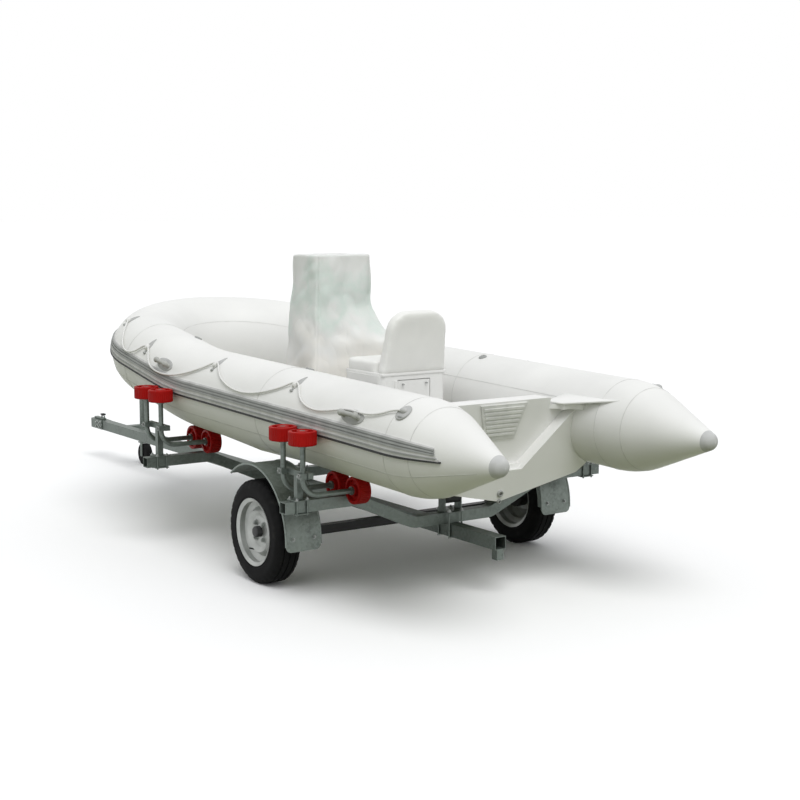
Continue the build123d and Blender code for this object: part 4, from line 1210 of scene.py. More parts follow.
@dataclass
class Lifeline:
    """A three-strand rope along one tube."""

    collar: Collar
    side: Side
    diameter: float = 12 * MM
    strand_share: float = 0.29
    lay_length: float = 48 * MM
    strands: int = 3

    # Columns: run forward of the datum, angle above the tube's outer middle, height off the tube
    ROUTE = [
        (127, 50, 15), (195, 48, 13), (258, 41, 10), (335, 36, 12), (430, 35, 15), (530, 36, 15),
        (620, 32, 12), (725, 27, 10), (830, 25, 10), (925, 28, 10), (1000, 35, 10), (1052, 45, 11),
        (1098, 53, 15), (1150, 52, 15), (1205, 44, 10), (1275, 37, 10), (1370, 30, 10), (1480, 25, 10),
        (1600, 23, 10), (1715, 25, 10), (1815, 30, 10), (1895, 37, 10), (1955, 46, 11), (2004, 54, 15),
        (2054, 53, 15), (2108, 45, 10), (2172, 38, 10), (2255, 31, 10), (2345, 25, 12), (2435, 20, 19),
        (2530, 17, 22), (2635, 16, 22), (2720, 18, 21), (2780, 23, 15), (2824, 31, 12), (2862, 39, 15),
        (2905, 40, 15), (2945, 33, 12), (2985, 25, 13), (3035, 20, 20), (3095, 19, 22), (3148, 23, 17),
        (3192, 31, 13), (3240, 40, 13), (3290, 49, 14), (3345, 55, 15),
    ]

    def centreline(self) -> list[Vector]:
        """Points along the smooth line through the route.

        Returns:
            The points, from the stern forward.
        """
        points = []
        for run, angle, lift in self.ROUTE:
            points.append(self.collar.point(run * MM - self.collar.datum, angle, lift * MM))
        curve = bpy.data.curves.new("route", "CURVE")
        curve.dimensions = "3D"
        curve.resolution_u = 16
        spline = curve.splines.new("NURBS")
        spline.points.add(len(points) - 1)
        for place, point in zip(spline.points, points):
            place.co = (point.x, self.side.value * point.y, point.z, 1.0)
        spline.order_u = 3
        spline.use_endpoint_u = True
        carrier = bpy.data.objects.new("route", curve)
        mesh = bpy.data.meshes.new_from_object(carrier)
        line = [vertex.co.copy() for vertex in mesh.vertices]
        bpy.data.objects.remove(carrier)
        bpy.data.meshes.remove(mesh)
        return line

    def build(self, look: Finishes) -> bpy.types.Object:
        """Args:
            look: The set's finishes.

        Returns:
            The new piece.
        """
        line = self.centreline()
        along = [0.0]
        for here, ahead in zip(line, line[1:]):
            along.append(along[-1] + (ahead - here).length)
        strand = self.diameter * self.strand_share
        offset = self.diameter / 2 - strand
        curve = bpy.data.curves.new("strands", "CURVE")
        curve.dimensions = "3D"
        curve.bevel_depth = strand
        curve.bevel_resolution = 2
        for index in range(self.strands):
            spline = curve.splines.new("POLY")
            spline.points.add(len(line) - 1)
            for number, (place, point) in enumerate(zip(spline.points, line)):
                ahead = line[min(number + 1, len(line) - 1)] - line[max(number - 1, 0)]
                side = ahead.cross(Vector((0, 0, 1))).normalized()
                up = side.cross(ahead).normalized()
                turn = math.tau * (along[number] / self.lay_length + index / self.strands)
                place.co = (*(point + (side * math.cos(turn) + up * math.sin(turn)) * offset), 1.0)
        carrier = bpy.data.objects.new("strands", curve)
        mesh = bpy.data.meshes.new_from_object(carrier)
        bpy.data.objects.remove(carrier)
        name = f"rope_{self.side.label}"
        piece = new_piece(name, mesh, look.rope)
        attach(piece, HULL_BODY)
        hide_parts(f"lifeline_{self.side.label}")
        log.info("%s: %.3f m", name, along[-1])
        return piece


@dataclass
class RoadTyre:
    """A road tyre with ribs, grooves and shoulder notches."""

    side: Side
    bead: float = 169 * MM
    flange: float = 183 * MM
    grooves: tuple = (36 * MM, 0.0, -36 * MM)
    groove_half: float = 4 * MM
    groove_depth: float = 7 * MM
    segments: int = 144
    notch_every: int = 4
    notch_depth: float = 5 * MM
    notch_in: float = 26 * MM
    notch_down: float = 20 * MM

    def build(self, look: Finishes) -> bpy.types.Object:
        """Spins the tyre's section and cuts notches in its shoulders.

        Args:
            look: The set's finishes.

        Returns:
            The new piece.
        """
        low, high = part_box(f"tyre_{self.side.label}")
        centre = (low + high) / 2
        radius, half = (high.z - low.z) / 2, (high.y - low.y) / 2
        # Columns: radius, distance from the middle
        wall = [
            (self.bead, half - 14 * MM),
            (self.flange, half - 7 * MM),
            (self.flange + 12 * MM, half - 3 * MM),
            (self.flange + 14 * MM, half - 2 * MM),
            (self.flange + 17 * MM, half - 2.6 * MM),
            (radius - 50 * MM, half),
            (radius - 34 * MM, half - 1.5 * MM),
            (radius - 31 * MM, half - 3 * MM),
            (radius - 18 * MM, half - 8 * MM),
            (radius - 8 * MM, half - 15 * MM),
            (radius - 1.5 * MM, half - 24 * MM),
        ]
        tread = []
        root, foot = radius - self.groove_depth, self.groove_half * 0.6
        for groove in self.grooves:
            tread += [(radius, groove + self.groove_half), (root, groove + foot),
                      (root, groove - foot), (radius, groove - self.groove_half)]
        outline = wall + tread + [(r, -out) for r, out in reversed(wall)]
        form = bmesh.new()
        corners = [form.verts.new((centre.x, centre.y + out, centre.z + r)) for r, out in outline]
        edges = [form.edges.new(pair) for pair in zip(corners, corners[1:] + corners[:1])]
        bmesh.ops.spin(form, geom=edges, cent=centre, axis=(0, 1, 0), angle=math.tau, steps=self.segments,
                       use_merge=True)
        bmesh.ops.remove_doubles(form, verts=form.verts[:], dist=LOOSE_WELD)
        self.notch(form, centre, radius, half)
        name = f"road_tyre_{self.side.label}"
        return closed_piece(name, form, f"wheel_{self.side.label}", [look.tyre],
                            (f"tyre_{self.side.label}",), 30)

    def notch(self, form: bmesh.types.BMesh, centre: Vector, radius: float, half: float) -> None:
        """Pushes every fourth row of shoulder vertices in towards the axle.

        Args:
            form: The bmesh that holds the tyre.
            centre: The tyre's middle.
            radius: Its radius.
            half: Half its width.
        """
        for vertex in form.verts:
            arm = Vector((vertex.co.x - centre.x, 0, vertex.co.z - centre.z))
            out = abs(vertex.co.y - centre.y)
            if out < half - self.notch_in or arm.length < radius - self.notch_down:
                continue
            turn = math.atan2(arm.x, arm.z) / math.tau * self.segments
            if round(turn) % self.notch_every == 0:
                vertex.co -= arm.normalized() * self.notch_depth


@dataclass
class WheelTrim:
    """Wheel bolts, a dust cap and an air valve on one road wheel."""

    side: Side
    bolt_circle: float = 57 * MM
    bolt_count: int = 4
    bolt_size: float = 25 * MM
    nave_out: float = 30 * MM
    cap_radius: float = 29 * MM
    cap_out: float = 56 * MM
    valve_radius: float = 126 * MM
    valve_out: float = 34 * MM
    valve_angle: float = -60.0

    def build(self, look: Finishes) -> bpy.types.Object:
        """Sets the bolts round the nave, the cap over the hub and the valve in the dish.

        Args:
            look: The set's finishes.

        Returns:
            The new piece.
        """
        low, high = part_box(f"tyre_{self.side.label}")
        centre = (low + high) / 2
        out = Vector((0, self.side.value, 0))
        form = bmesh.new()
        for index in range(self.bolt_count):
            turn = math.tau * (index + 0.5) / self.bolt_count
            arm = Vector((math.cos(turn), 0, math.sin(turn))) * self.bolt_circle
            bolt(form, centre + arm + out * self.nave_out, out, self.bolt_size)
        place = aimed(centre + out * self.cap_out, out)
        size = self.cap_radius
        dome = [(0.5 * MM, 0.5 * MM), (size, 0.5 * MM), (size, 4 * MM), (0.85 * size, 9 * MM),
                (0.5 * size, 11 * MM), (0.5 * MM, 11 * MM)]
        lathe(form, dome, place, 40, 1)
        lean = math.radians(self.valve_angle)
        foot = centre + Vector((math.cos(lean), 0, math.sin(lean))) * self.valve_radius + out * self.valve_out
        rod(form, foot, foot + out * 30 * MM + Vector((-6 * MM, 0, 10 * MM)), 4.5 * MM, 1, 12)
        name = f"wheel_trim_{self.side.label}"
        return closed_piece(name, form, f"wheel_{self.side.label}", [look.bolt, look.hub])


@dataclass
class GuardBeads:
    """Rolled beads along the mudguards' edges, with their bolts."""

    side: Side
    bead: float = 5.5 * MM
    front_angle: float = 52.0
    flap_drop: float = 45 * MM
    corner: float = 30 * MM
    bolt_share: float = 0.3
    bolt_rise: float = 22 * MM
    bolt_size: float = 15 * MM

    def build(self, look: Finishes) -> bpy.types.Object:
        """Spins a bead round each long edge of the arch and runs it down the flap.

        Args:
            look: The set's finishes.

        Returns:
            The new piece.
        """
        name = self.side.label
        low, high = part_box(f"mudguard_{name}")
        tyre_low, tyre_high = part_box(f"tyre_{name}")
        centre = (tyre_low + tyre_high) / 2
        radius = centre.x - low.x - 2 * MM
        form = bmesh.new()
        outer = high.y if self.side is Side.PORT else low.y
        inner = low.y if self.side is Side.PORT else high.y
        front = math.radians(self.front_angle)
        lean = Vector((math.cos(front), 0, math.sin(front)))
        for edge_y in (outer, inner):
            hinge = Vector((centre.x, edge_y, centre.z))
            place = aimed(hinge + lean * radius, Vector((0, -1, 0)).cross(lean))
            made = bmesh.ops.create_circle(form, segments=14, radius=self.bead, matrix=place)
            turned = bmesh.ops.spin(form, geom=edges_of(made["verts"]), cent=hinge, axis=(0, -1, 0),
                                    angle=math.pi - front, steps=40, use_merge=False)
            grown = bmesh.ops.extrude_edge_only(form, edges=edges_in(turned["geom_last"]))["geom"]
            bmesh.ops.translate(form, verts=verts_in(grown), vec=(0, 0, self.corner - self.flap_drop))
        capped(form)
        middle = (outer + inner) / 2
        for share in (-self.bolt_share, self.bolt_share):
            spot = Vector((low.x, middle + share * (outer - inner), centre.z + self.bolt_rise))
            bolt(form, spot, Vector((-1, 0, 0)), self.bolt_size, 1)
        return closed_piece(f"guard_beads_{name}", form, HULL_BODY,
                            [look.sheet_zinc, look.bolt])


@dataclass
class Cradles:
    """Ribbed red rollers, their collars and nuts, and the cradles' bolts."""

    collar: Collar
    roller_radius: float = 72 * MM
    roller_width: float = 72 * MM
    spacing: float = 195 * MM
    side_drop: float = 20 * MM
    gap: float = 0.8 * MM
    arm_radius: float = 14 * MM
    bend: float = 90 * MM
    bar: float = 30 * MM
    clamp: float = 22 * MM
    ribs: int = 40
    rib_depth: float = 1.8 * MM
    collar_radius: float = 22 * MM
    collar_width: float = 10 * MM
    play: float = 0.4 * MM
    post_in: float = 17 * MM
    clamp_drop: float = 65 * MM
    bolt_along: float = 36 * MM
    bolt_across: float = 30 * MM

    # Columns: radius, height from a face, in millimetres, from the bore out to the tread
    PROFILE = [(14.4, 0), (29, 0), (30, 1), (31, 17), (33, 18), (54, 18), (55, 17), (56, 1), (57, 0), (66, 0),
               (70, 1.6), (72, 5), (72, 12)]
    PLATE = Vector((86, 84, 6))

    def roller(self, form: bmesh.types.BMesh, place: Matrix) -> None:
        """Turns one roller with hollow faces and presses ribs in its tread.

        Args:
            form: The bmesh that gets it.
            place: The frame at the foot of its axis.
        """
        outline = [(radius * MM, height * MM) for radius, height in self.PROFILE]
        outline += [(radius, self.roller_width - height) for radius, height in reversed(outline)]
        made = lathe(form, outline, place, self.ribs * 2)
        back = place.inverted()
        for vertex in made:
            local = back @ vertex.co
            arm = Vector((local.x, local.y, 0))
            turn = round(math.atan2(local.y, local.x) / math.tau * self.ribs * 2)
            if turn % 2 and arm.length > self.roller_radius - 1 * MM:
                vertex.co = place @ (local - arm.normalized() * self.rib_depth)

    def build(self, look: Finishes) -> list[bpy.types.Object]:
        """Sets the rollers and the hardware at both beams, and mirrors them.

        Args:
            look: The set's finishes.

        Returns:
            The rollers' piece and the hardware's piece.
        """
        _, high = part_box("side_rollers")
        roll_y = high.y - self.roller_radius
        rollers, metal = bmesh.new(), bmesh.new()
        up, port = Vector((0, 0, 1)), Vector((0, 1, 0))
        for beam in ("rear_beam", "front_beam"):
            low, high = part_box(beam)
            beam_x = (low.x + high.x) / 2
            roll_z = self.collar.axis_z(beam_x) - self.side_drop
            aft_x = beam_x - self.spacing / 2 - self.roller_radius
            tube_drop = self.collar.radius / math.cos(math.radians(self.collar.rise))
            under_z = self.collar.axis_z(aft_x) - tube_drop - self.gap - self.roller_radius
            bar_z = under_z + self.bend
            for arm_x in (beam_x - self.spacing / 2, beam_x + self.spacing / 2):
                foot = Vector((arm_x, roll_y, roll_z - self.roller_width / 2))
                self.roller(rollers, aimed(foot, up))
                inside = Vector((arm_x, self.collar.half_beam - self.roller_width / 2, under_z))
                self.roller(rollers, aimed(inside, port))
                self.fittings(metal, foot, inside, bar_z)
            self.foot_plate(metal, Vector((beam_x, roll_y - self.arm_radius - self.post_in, high.z)))
        for form in (rollers, metal):
            mirrored(form)
        return [
            closed_piece("rollers", rollers, HULL_BODY, [look.red],
                         ("side_rollers", "bottom_rollers"), 28),
            closed_piece("cradle_fittings", metal, HULL_BODY, [look.bolt, look.zinc]),
        ]

    def fittings(self, form: bmesh.types.BMesh, foot: Vector, inside: Vector, bar_z: float) -> None:
        """Adds one arm's roller collars, its end nut and its clamp bolt.

        Args:
            form: The bmesh that gets them.
            foot: The foot of the side roller's axis.
            inside: The inboard end of the lower roller's axis.
            bar_z: Underside of the cradle's bar.
        """
        bore, size, width = self.arm_radius + self.play, self.collar_radius, self.collar_width
        ring = [(bore, 0), (size, 0), (size, width), (bore, width)]
        lathe(form, ring, aimed(foot - Vector((0, 0, width + self.play)), Vector((0, 0, 1))), 28, 1)
        outside = inside + Vector((0, self.roller_width + self.play, 0))
        lathe(form, ring, aimed(outside, Vector((0, 1, 0))), 28, 1)
        bolt(form, inside, Vector((0, -1, 0)), 30 * MM, 0)
        face = Vector((foot.x, foot.y + self.clamp, bar_z + self.bar / 2))
        bolt(form, face, Vector((0, 1, 0)), 17 * MM, 0)

    def foot_plate(self, form: bmesh.types.BMesh, top: Vector) -> None:
        """Adds the two plates and the four long bolts that hold a post on its beam's end.

        Args:
            form: The bmesh that gets them.
            top: The middle of the post's foot, on the beam.
        """
        for down in (-3 * MM, self.clamp_drop):
            slab(form, top - Vector((0, 0, down)), self.PLATE * MM, 2 * MM, 1)
        for side in (-1, 1):
            for out in (-1, 1):
                spot = top + Vector((side * self.bolt_along, out * self.bolt_across, 6 * MM))
                bolt(form, spot, Vector((0, 0, 1)), 16 * MM, 0)
                rod(form, spot, spot - Vector((0, 0, 80 * MM)), 4.5 * MM, 1, 12)


@dataclass
class FrameFittings:
    """U-bolts where the beams cross the spine, coupling bolts and the coupling's hand lever."""

    plate: float = 6 * MM
    beam_height: float = 60 * MM
    bolt_ahead: float = 50 * MM
    bolt_out: float = 41 * MM
    strap_half: float = 46 * MM
    strap_drop: float = 5 * MM
    bar: float = 5 * MM
    loop_radius: float = 25 * MM
    loop_bar: float = 6 * MM

    HEAD_ROWS = (35 * MM, 95 * MM)
    HEAD_HEIGHTS = (18 * MM, 52 * MM)

    def build(self, look: Finishes) -> list[bpy.types.Object]:
        """Clamps both beams to the spine and dresses the coupling.

        Args:
            look: The set's finishes.

        Returns:
            The frame's fittings and the lever.
        """
        form = bmesh.new()
        spine_low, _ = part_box("spine")
        for beam in ("rear_beam", "front_beam"):
            low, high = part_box(beam)
            middle = (low.x + high.x) / 2
            beam_top = low.z + self.beam_height
            strap_z = spine_low.z - self.strap_drop
            slab(form, Vector((middle, 0, beam_top + self.plate / 2)), Vector((124, 96, 6)) * MM, 2 * MM, 1)
            for along in (middle - self.bolt_ahead, middle + self.bolt_ahead):
                for side in (-self.bolt_out, self.bolt_out):
                    top = Vector((along, side, beam_top + self.plate))
                    bolt(form, top, Vector((0, 0, 1)), 18 * MM, 0)
                    rod(form, top, Vector((along, side, strap_z)), self.bar, 1, 12)
                ends = [Vector((along, side * self.strap_half, strap_z)) for side in (-1, 1)]
                rod(form, *ends, self.bar, 0, 12)
        head_low, head_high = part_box("coupling_head")
        for side in (-1, 1):
            face = head_high.y if side > 0 else head_low.y
            for ahead in self.HEAD_ROWS:
                for up in self.HEAD_HEIGHTS:
                    spot = Vector((head_low.x + ahead, face, head_low.z + up))
                    bolt(form, spot, Vector((0, side, 0)), 20 * MM, 0)
        fittings = closed_piece("frame_fittings", form, HULL_BODY, [look.bolt, look.zinc])
        return [fittings, self.lever(look)]

    def lever(self, look: Finishes) -> bpy.types.Object:
        """The coupling's lever: a rounded tongue with a hand loop at its aft end.

        Args:
            look: The set's finishes.

        Returns:
            The lever's piece.
        """
        low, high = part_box("coupling_lever")
        form = bmesh.new()
        middle = (low + high) / 2
        slab(form, middle + Vector((0, 0, 1 * MM)), high - low + Vector((0, 0, 2 * MM)), 5 * MM)
        hinge = Vector((low.x + 24 * MM, 0, high.z + 4 * MM))
        place = aimed(hinge + Vector((self.loop_radius, 0, 0)), Vector((0, 0, 1)))
        made = bmesh.ops.create_circle(form, segments=14, radius=self.loop_bar, matrix=place)
        bmesh.ops.spin(form, geom=edges_of(made["verts"]), cent=hinge, axis=(0, -1, 0), angle=math.pi,
                       steps=20, use_merge=False)
        capped(form)
        grip = hinge + Vector((0, 0, self.loop_radius + 1 * MM))
        slab(form, grip, Vector((46, 30, 12)) * MM, 4 * MM, 1)
        return closed_piece("hand_lever", form, HULL_BODY, [look.zinc, look.dark],
                            ("coupling_lever",))


@dataclass
class SternFittings:
    """Drain rings on the transom and the corner latches of the seat locker."""

    rake: float = 13.0
    ring: float = 17 * MM
    latch_out: float = 78 * MM
    latch_down: float = 20 * MM

    # Columns: distance down the transom from the plug, size
    DRAINS = ((0.0, 1.1), (44 * MM, 0.7))

    def build(self, look: Finishes) -> list[bpy.types.Object]:
        """Rings both drains and sets the latches on the locker door.

        Args:
            look: The set's finishes.

        Returns:
            The drain rings and the latches.
        """
        low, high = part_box("drain_plug")
        middle = (low + high) / 2
        lean = math.radians(self.rake)
        out = Vector((-math.cos(lean), 0, -math.sin(lean)))
        down = Vector((math.sin(lean), 0, -math.cos(lean)))
        form = bmesh.new()
        for along, size in self.DRAINS:
            radius = self.ring * size
            place = aimed(middle + down * along - out * 4 * MM, out)
            rim = [(0.45 * radius, 0), (radius, 0), (radius, 6 * MM), (0.8 * radius, 11 * MM),
                   (0.55 * radius, 11 * MM), (0.45 * radius, 7 * MM)]
            lathe(form, rim, place, 32, 0)
            rod(form, place.translation, place @ Vector((0, 0, 8 * MM)), 0.46 * radius, 1, 24)
        drains = closed_piece("drain_rings", form, HULL_BODY, [look.grey, look.dark])
        low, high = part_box("locker_door")
        door = bmesh.new()
        for side in (-1, 1):
            spot = Vector((low.x + 3 * MM, side * self.latch_out, high.z - self.latch_down))
            slab(door, spot, Vector((9, 15, 9)) * MM, 2.5 * MM)
        latches = closed_piece("door_latches", door, "locker_lid", [look.grey])
        return [drains, latches]


@dataclass
class LedgeWings:
    """The thin wings that carry the stern ledges on along the tubes, and the skirt under the seat pads."""

    thick: float = 9 * MM
    lift: float = 34 * MM
    reach: float = 215 * MM
    inner_y: float = 330 * MM
    root_y: float = 480 * MM
    tip_y: float = 500 * MM
    filler_y: float = 345 * MM
    filler_root_y: float = 425 * MM
    skirt_rise: float = 7 * MM
    skirt_inset: float = 8 * MM
    skirt_height: float = 17 * MM

    def build(self, look: Finishes) -> bpy.types.Object:
        """Draws one wing and its filler in plan, leans them up towards the tube, and mirrors them.

        Args:
            look: The set's finishes.

        Returns:
            The new piece.
        """
        low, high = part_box("stern_ledges")
        form = bmesh.new()
        aft, top = low.x, high.z
        # Columns: distance ahead, distance out
        wing = [
            (aft + 190 * MM, self.inner_y), (aft + 70 * MM, self.inner_y), (aft - self.reach, self.root_y),
            (aft - self.reach, self.tip_y), (aft + 190 * MM, self.tip_y),
        ]
        filler = [
            (aft + 180 * MM, self.filler_y), (aft + 65 * MM, self.filler_y), (aft + 8 * MM, self.filler_root_y),
            (aft + 8 * MM, self.tip_y), (aft + 180 * MM, self.tip_y),
        ]
        self.plate(form, wing, top, self.thick, 0)
        self.plate(form, filler, top, self.lift, 1)
        mirrored(form)
        self.skirt(form)
        return closed_piece("ledge_wings", form, HULL_BODY, [look.gelcoat])

    def plate(self, form: bmesh.types.BMesh, plan: list, top: float, thick: float, under: int) -> None:
        """Builds a leaning plate over a plan.

        Args:
            form: The bmesh that gets it.
            plan: Its corners as distance ahead and distance out.
            top: The ledge's upper face.
            thick: How thick the plate is.
            under: 1 for a plate that hangs under the leaning face, 0 for one that lies on it.
        """
        corners = []
        for along, across in plan:
            rise = self.lift * (across - self.inner_y) / (self.root_y - self.inner_y)
            corners.append(form.verts.new((along, across, top + 1 * MM + rise + under * 2 * MM)))
        face = form.faces.new(corners)
        grown = bmesh.ops.extrude_face_region(form, geom=[face])["geom"]
        moving = verts_in(grown)
        bmesh.ops.translate(form, verts=moving, vec=(0, 0, -thick if under else thick))
        bmesh.ops.bevel(form, geom=edges_of(corners + moving), offset=2 * MM, affect="EDGES", segments=3,
                        profile=0.5, material=-1)

    def skirt(self, form: bmesh.types.BMesh) -> None:
        """Adds the low plinth that closes the joint between the seat's box and its pads.

        Args:
            form: The bmesh that gets it.
        """
        low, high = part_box("seat_box")
        middle = Vector(((low.x + high.x) / 2, (low.y + high.y) / 2, high.z + self.skirt_rise))
        less = 2 * self.skirt_inset
        slab(form, middle, Vector((high.x - low.x - less, high.y - low.y - less, self.skirt_height)), 4 * MM)


@dataclass
class BowLiner:
    """The inner moulding that closes the bow from its step to the tube all round."""

    collar: Collar
    floor_z: float = 884 * MM
    thick: float = 12 * MM
    sink: float = 12 * MM
    shallowest: int = 190
    steepest: int = 252
    rows: int = 44
    lap: float = 4 * MM
    search: float = 5 * MM

    def edge(self, run: float) -> Vector:
        """The point on the tube's inner side at the liner's height, or as low as the tube allows.

        Args:
            run: Distance forward of the tube's aft end.

        Returns:
            The point, a little inside the tube's skin.
        """
        for angle in range(self.shallowest, self.steepest + 1):
            spot = self.collar.point(run, angle, -self.sink)
            if spot.z <= self.floor_z:
                break
        return spot

    def build(self, look: Finishes) -> bpy.types.Object:
        """Draws the liner's port edge along the tube, pulls it across the bow and gives it thickness.

        Args:
            look: The set's finishes.

        Returns:
            The new piece.
        """
        low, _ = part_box("bow_moulding")
        lengths = [size * angle if angle else size for size, angle, _ in self.collar.steps()]
        end = sum(lengths)
        start = lengths[0]
        while self.edge(start).x < low.x + self.lap:
            start += self.search
        form = bmesh.new()
        runs = [start + (end - start) * number / self.rows for number in range(self.rows + 1)]
        port = [form.verts.new(self.edge(run)) for run in runs]
        edges = [form.edges.new(pair) for pair in zip(port, port[1:])]
        across = bmesh.ops.extrude_edge_only(form, edges=edges)["geom"]
        bmesh.ops.transform(form, matrix=MIDDLE_PLANE, verts=verts_in(across))
        grown = bmesh.ops.extrude_face_region(form, geom=form.faces[:])["geom"]
        bmesh.ops.translate(form, verts=verts_in(grown), vec=(0, 0, -self.thick))
        bmesh.ops.remove_doubles(form, verts=form.verts[:], dist=LOOSE_WELD)
        return closed_piece("bow_liner", form, HULL_BODY, [look.gelcoat])


@dataclass
class ConsoleFilm:
    """Packing film pulled down over the console and its screen."""

    cuts: int = 72
    squareness: float = 6.0
    taper: tuple = (330 / 430, 410 / 530)
    rounding: int = 14
    crumple: float = 18 * MM
    fold_share: float = 0.5
    crease_share: float = 1.3
    fine_share: float = 0.7
    drawn_in: float = 1.2
    ironing: int = 3
    flare: float = 165 * MM
    drift: float = 55 * MM
    flare_top: float = 1.42
    flare_foot: float = 1.21
    sheet_width: float = 1.25

    def build(self, look: Finishes) -> bpy.types.Object:
        """Shapes a bag over the console, crumples it and spreads its aft foot.

        Args:
            look: The set's finishes.

        Returns:
            The new piece.
        """
        low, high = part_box("console_film")
        form = bmesh.new()
        bmesh.ops.create_cube(form, size=1.0)
        floor = [face for face in form.faces if face.normal.z < -0.5]
        bmesh.ops.delete(form, geom=floor, context="FACES_ONLY")
        bmesh.ops.subdivide_edges(form, edges=form.edges[:], cuts=self.cuts, use_grid_fill=True)
        inside = [vertex for vertex in form.verts if vertex.co.z > -0.49]
        relaxed(form, inside, self.rounding)
        middle, size = (low + high) / 2, high - low
        for vertex in form.verts:
            up = vertex.co.z + 0.5
            along, across = abs(vertex.co.x), abs(vertex.co.y)
            power = self.squareness
            reach = max((along ** power + across ** power) ** (1 / power), 1e-6)
            pull = max(along, across) / reach
            vertex.co = Vector((
                middle.x + vertex.co.x * pull * size.x * (1 + (self.taper[0] - 1) * up),
                middle.y + vertex.co.y * pull * size.y * (1 + (self.taper[1] - 1) * up),
                low.z + up * size.z))
        form.normal_update()
        for vertex in form.verts:
            self.crinkle(vertex, low, high)
        relaxed(form, form.verts[:], self.ironing)
        piece = new_piece("wrapping", to_mesh("wrapping", form), look.film)
        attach(piece, HULL_BODY)
        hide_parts("console_film")
        return piece

    def crinkle(self, vertex: bmesh.types.BMVert, low: Vector, high: Vector) -> None:
        """Moves one point of the film by long folds and creases, and draws its foot aft.

        Args:
            vertex: The point.
            low: Lowest corner of the film's box.
            high: Highest corner.
        """
        place = vertex.co.copy()
        up = (place.z - low.z) / (high.z - low.z)
        folds = noise.noise(Vector((place.x * 6, place.y * 6, place.z * 2.2)))
        creases = noise.turbulence(Vector((place.x * 4, place.y * 4, place.z * 2.6)), 2, True)
        fine = noise.turbulence(Vector((place.x + place.z, place.y, place.z * 0.6)) * 7.0, 1, True)
        height = folds * self.fold_share + creases * self.crease_share + fine * self.fine_share
        push = (height - self.drawn_in) * self.crumple
        vertex.co += vertex.normal * push * min(1.0, (1.03 - up) * 14)
        aft = max(0.0, (low.x + high.x) / 2 - place.x) / ((high.x - low.x) / 2)
        drop = min(1.0, max(0.0, (self.flare_top - place.z) / (self.flare_top - self.flare_foot)))
        wing = min(1.0, max(0.0, 0.55 - place.y / (high.y - low.y) * 1.5))
        spread = wing * drop ** 1.25 * min(1.0, aft * 1.2) ** 2
        vertex.co.x -= self.flare * spread
        vertex.co.y -= self.drift * spread
        vertex.co.z = max(vertex.co.z, low.z + 1 * MM)


@dataclass
class SeatPad:
    """A padded seat piece that swells from its solid."""

    node: str
    name: str
    voxel: float = 6 * MM
    inset: float = 5 * MM
    swell_cap: float = 6 * MM
    frames: int = 20
    pressure: float = 4.0
    smoothing: int = 24

    def build(self, look: Finishes) -> bpy.types.Object:
        """Args:
            look: The set's finishes.

        Returns:
            The new piece.
        """
        source = frame["nodes"][self.node]
        form = bmesh.new()
        form.from_mesh(source.data)
        bmesh.ops.remove_doubles(form, verts=form.verts[:], dist=NODE_WELD)
        low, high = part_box(self.node)
        middle, size = (low + high) / 2, high - low
        for vertex in form.verts:
            for axis in range(3):
                share = 1 - 2 * self.inset / size[axis]
                vertex.co[axis] = middle[axis] + (vertex.co[axis] - middle[axis]) * share
        piece = new_piece(self.name, to_mesh(self.name, form), look.vinyl)
        remesh = piece.modifiers.new("voxels", "REMESH")
        remesh.mode = "VOXEL"
        remesh.voxel_size = self.voxel
        self.apply(piece)
        self.inflate(piece)
        smooth = piece.modifiers.new("smooth", "SMOOTH")
        smooth.factor = 0.5
        smooth.iterations = self.smoothing
        self.apply(piece)
        for face in piece.data.polygons:
            face.use_smooth = True
        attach(piece, HULL_BODY)
        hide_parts(self.node)
        return piece

    def apply(self, piece: bpy.types.Object) -> None:
        """Turns the piece's modifiers into its mesh.

        Args:
            piece: The pad.
        """
        depsgraph = bpy.context.evaluated_depsgraph_get()
        mesh = bpy.data.meshes.new_from_object(piece.evaluated_get(depsgraph))
        piece.modifiers.clear()
        old = piece.data
        piece.data = mesh
        bpy.data.meshes.remove(old)

    def inflate(self, piece: bpy.types.Object) -> None:
        """Swells the pad with cloth pressure and caps how far a point moves.

        Args:
            piece: The pad.
        """
        rest = [vertex.co.copy() for vertex in piece.data.vertices]
        cloth = piece.modifiers.new("swell", "CLOTH")
        cloth.settings.use_pressure = True
        cloth.settings.uniform_pressure_force = self.pressure
        cloth.settings.effector_weights.gravity = 0.0
        scene = bpy.context.scene
        for number in range(1, self.frames + 1):
            scene.frame_set(number)
        self.apply(piece)
        scene.frame_set(1)
        for vertex, start in zip(piece.data.vertices, rest):
            move = vertex.co - start
            if move.length > self.swell_cap:
                vertex.co = start + move.normalized() * self.swell_cap


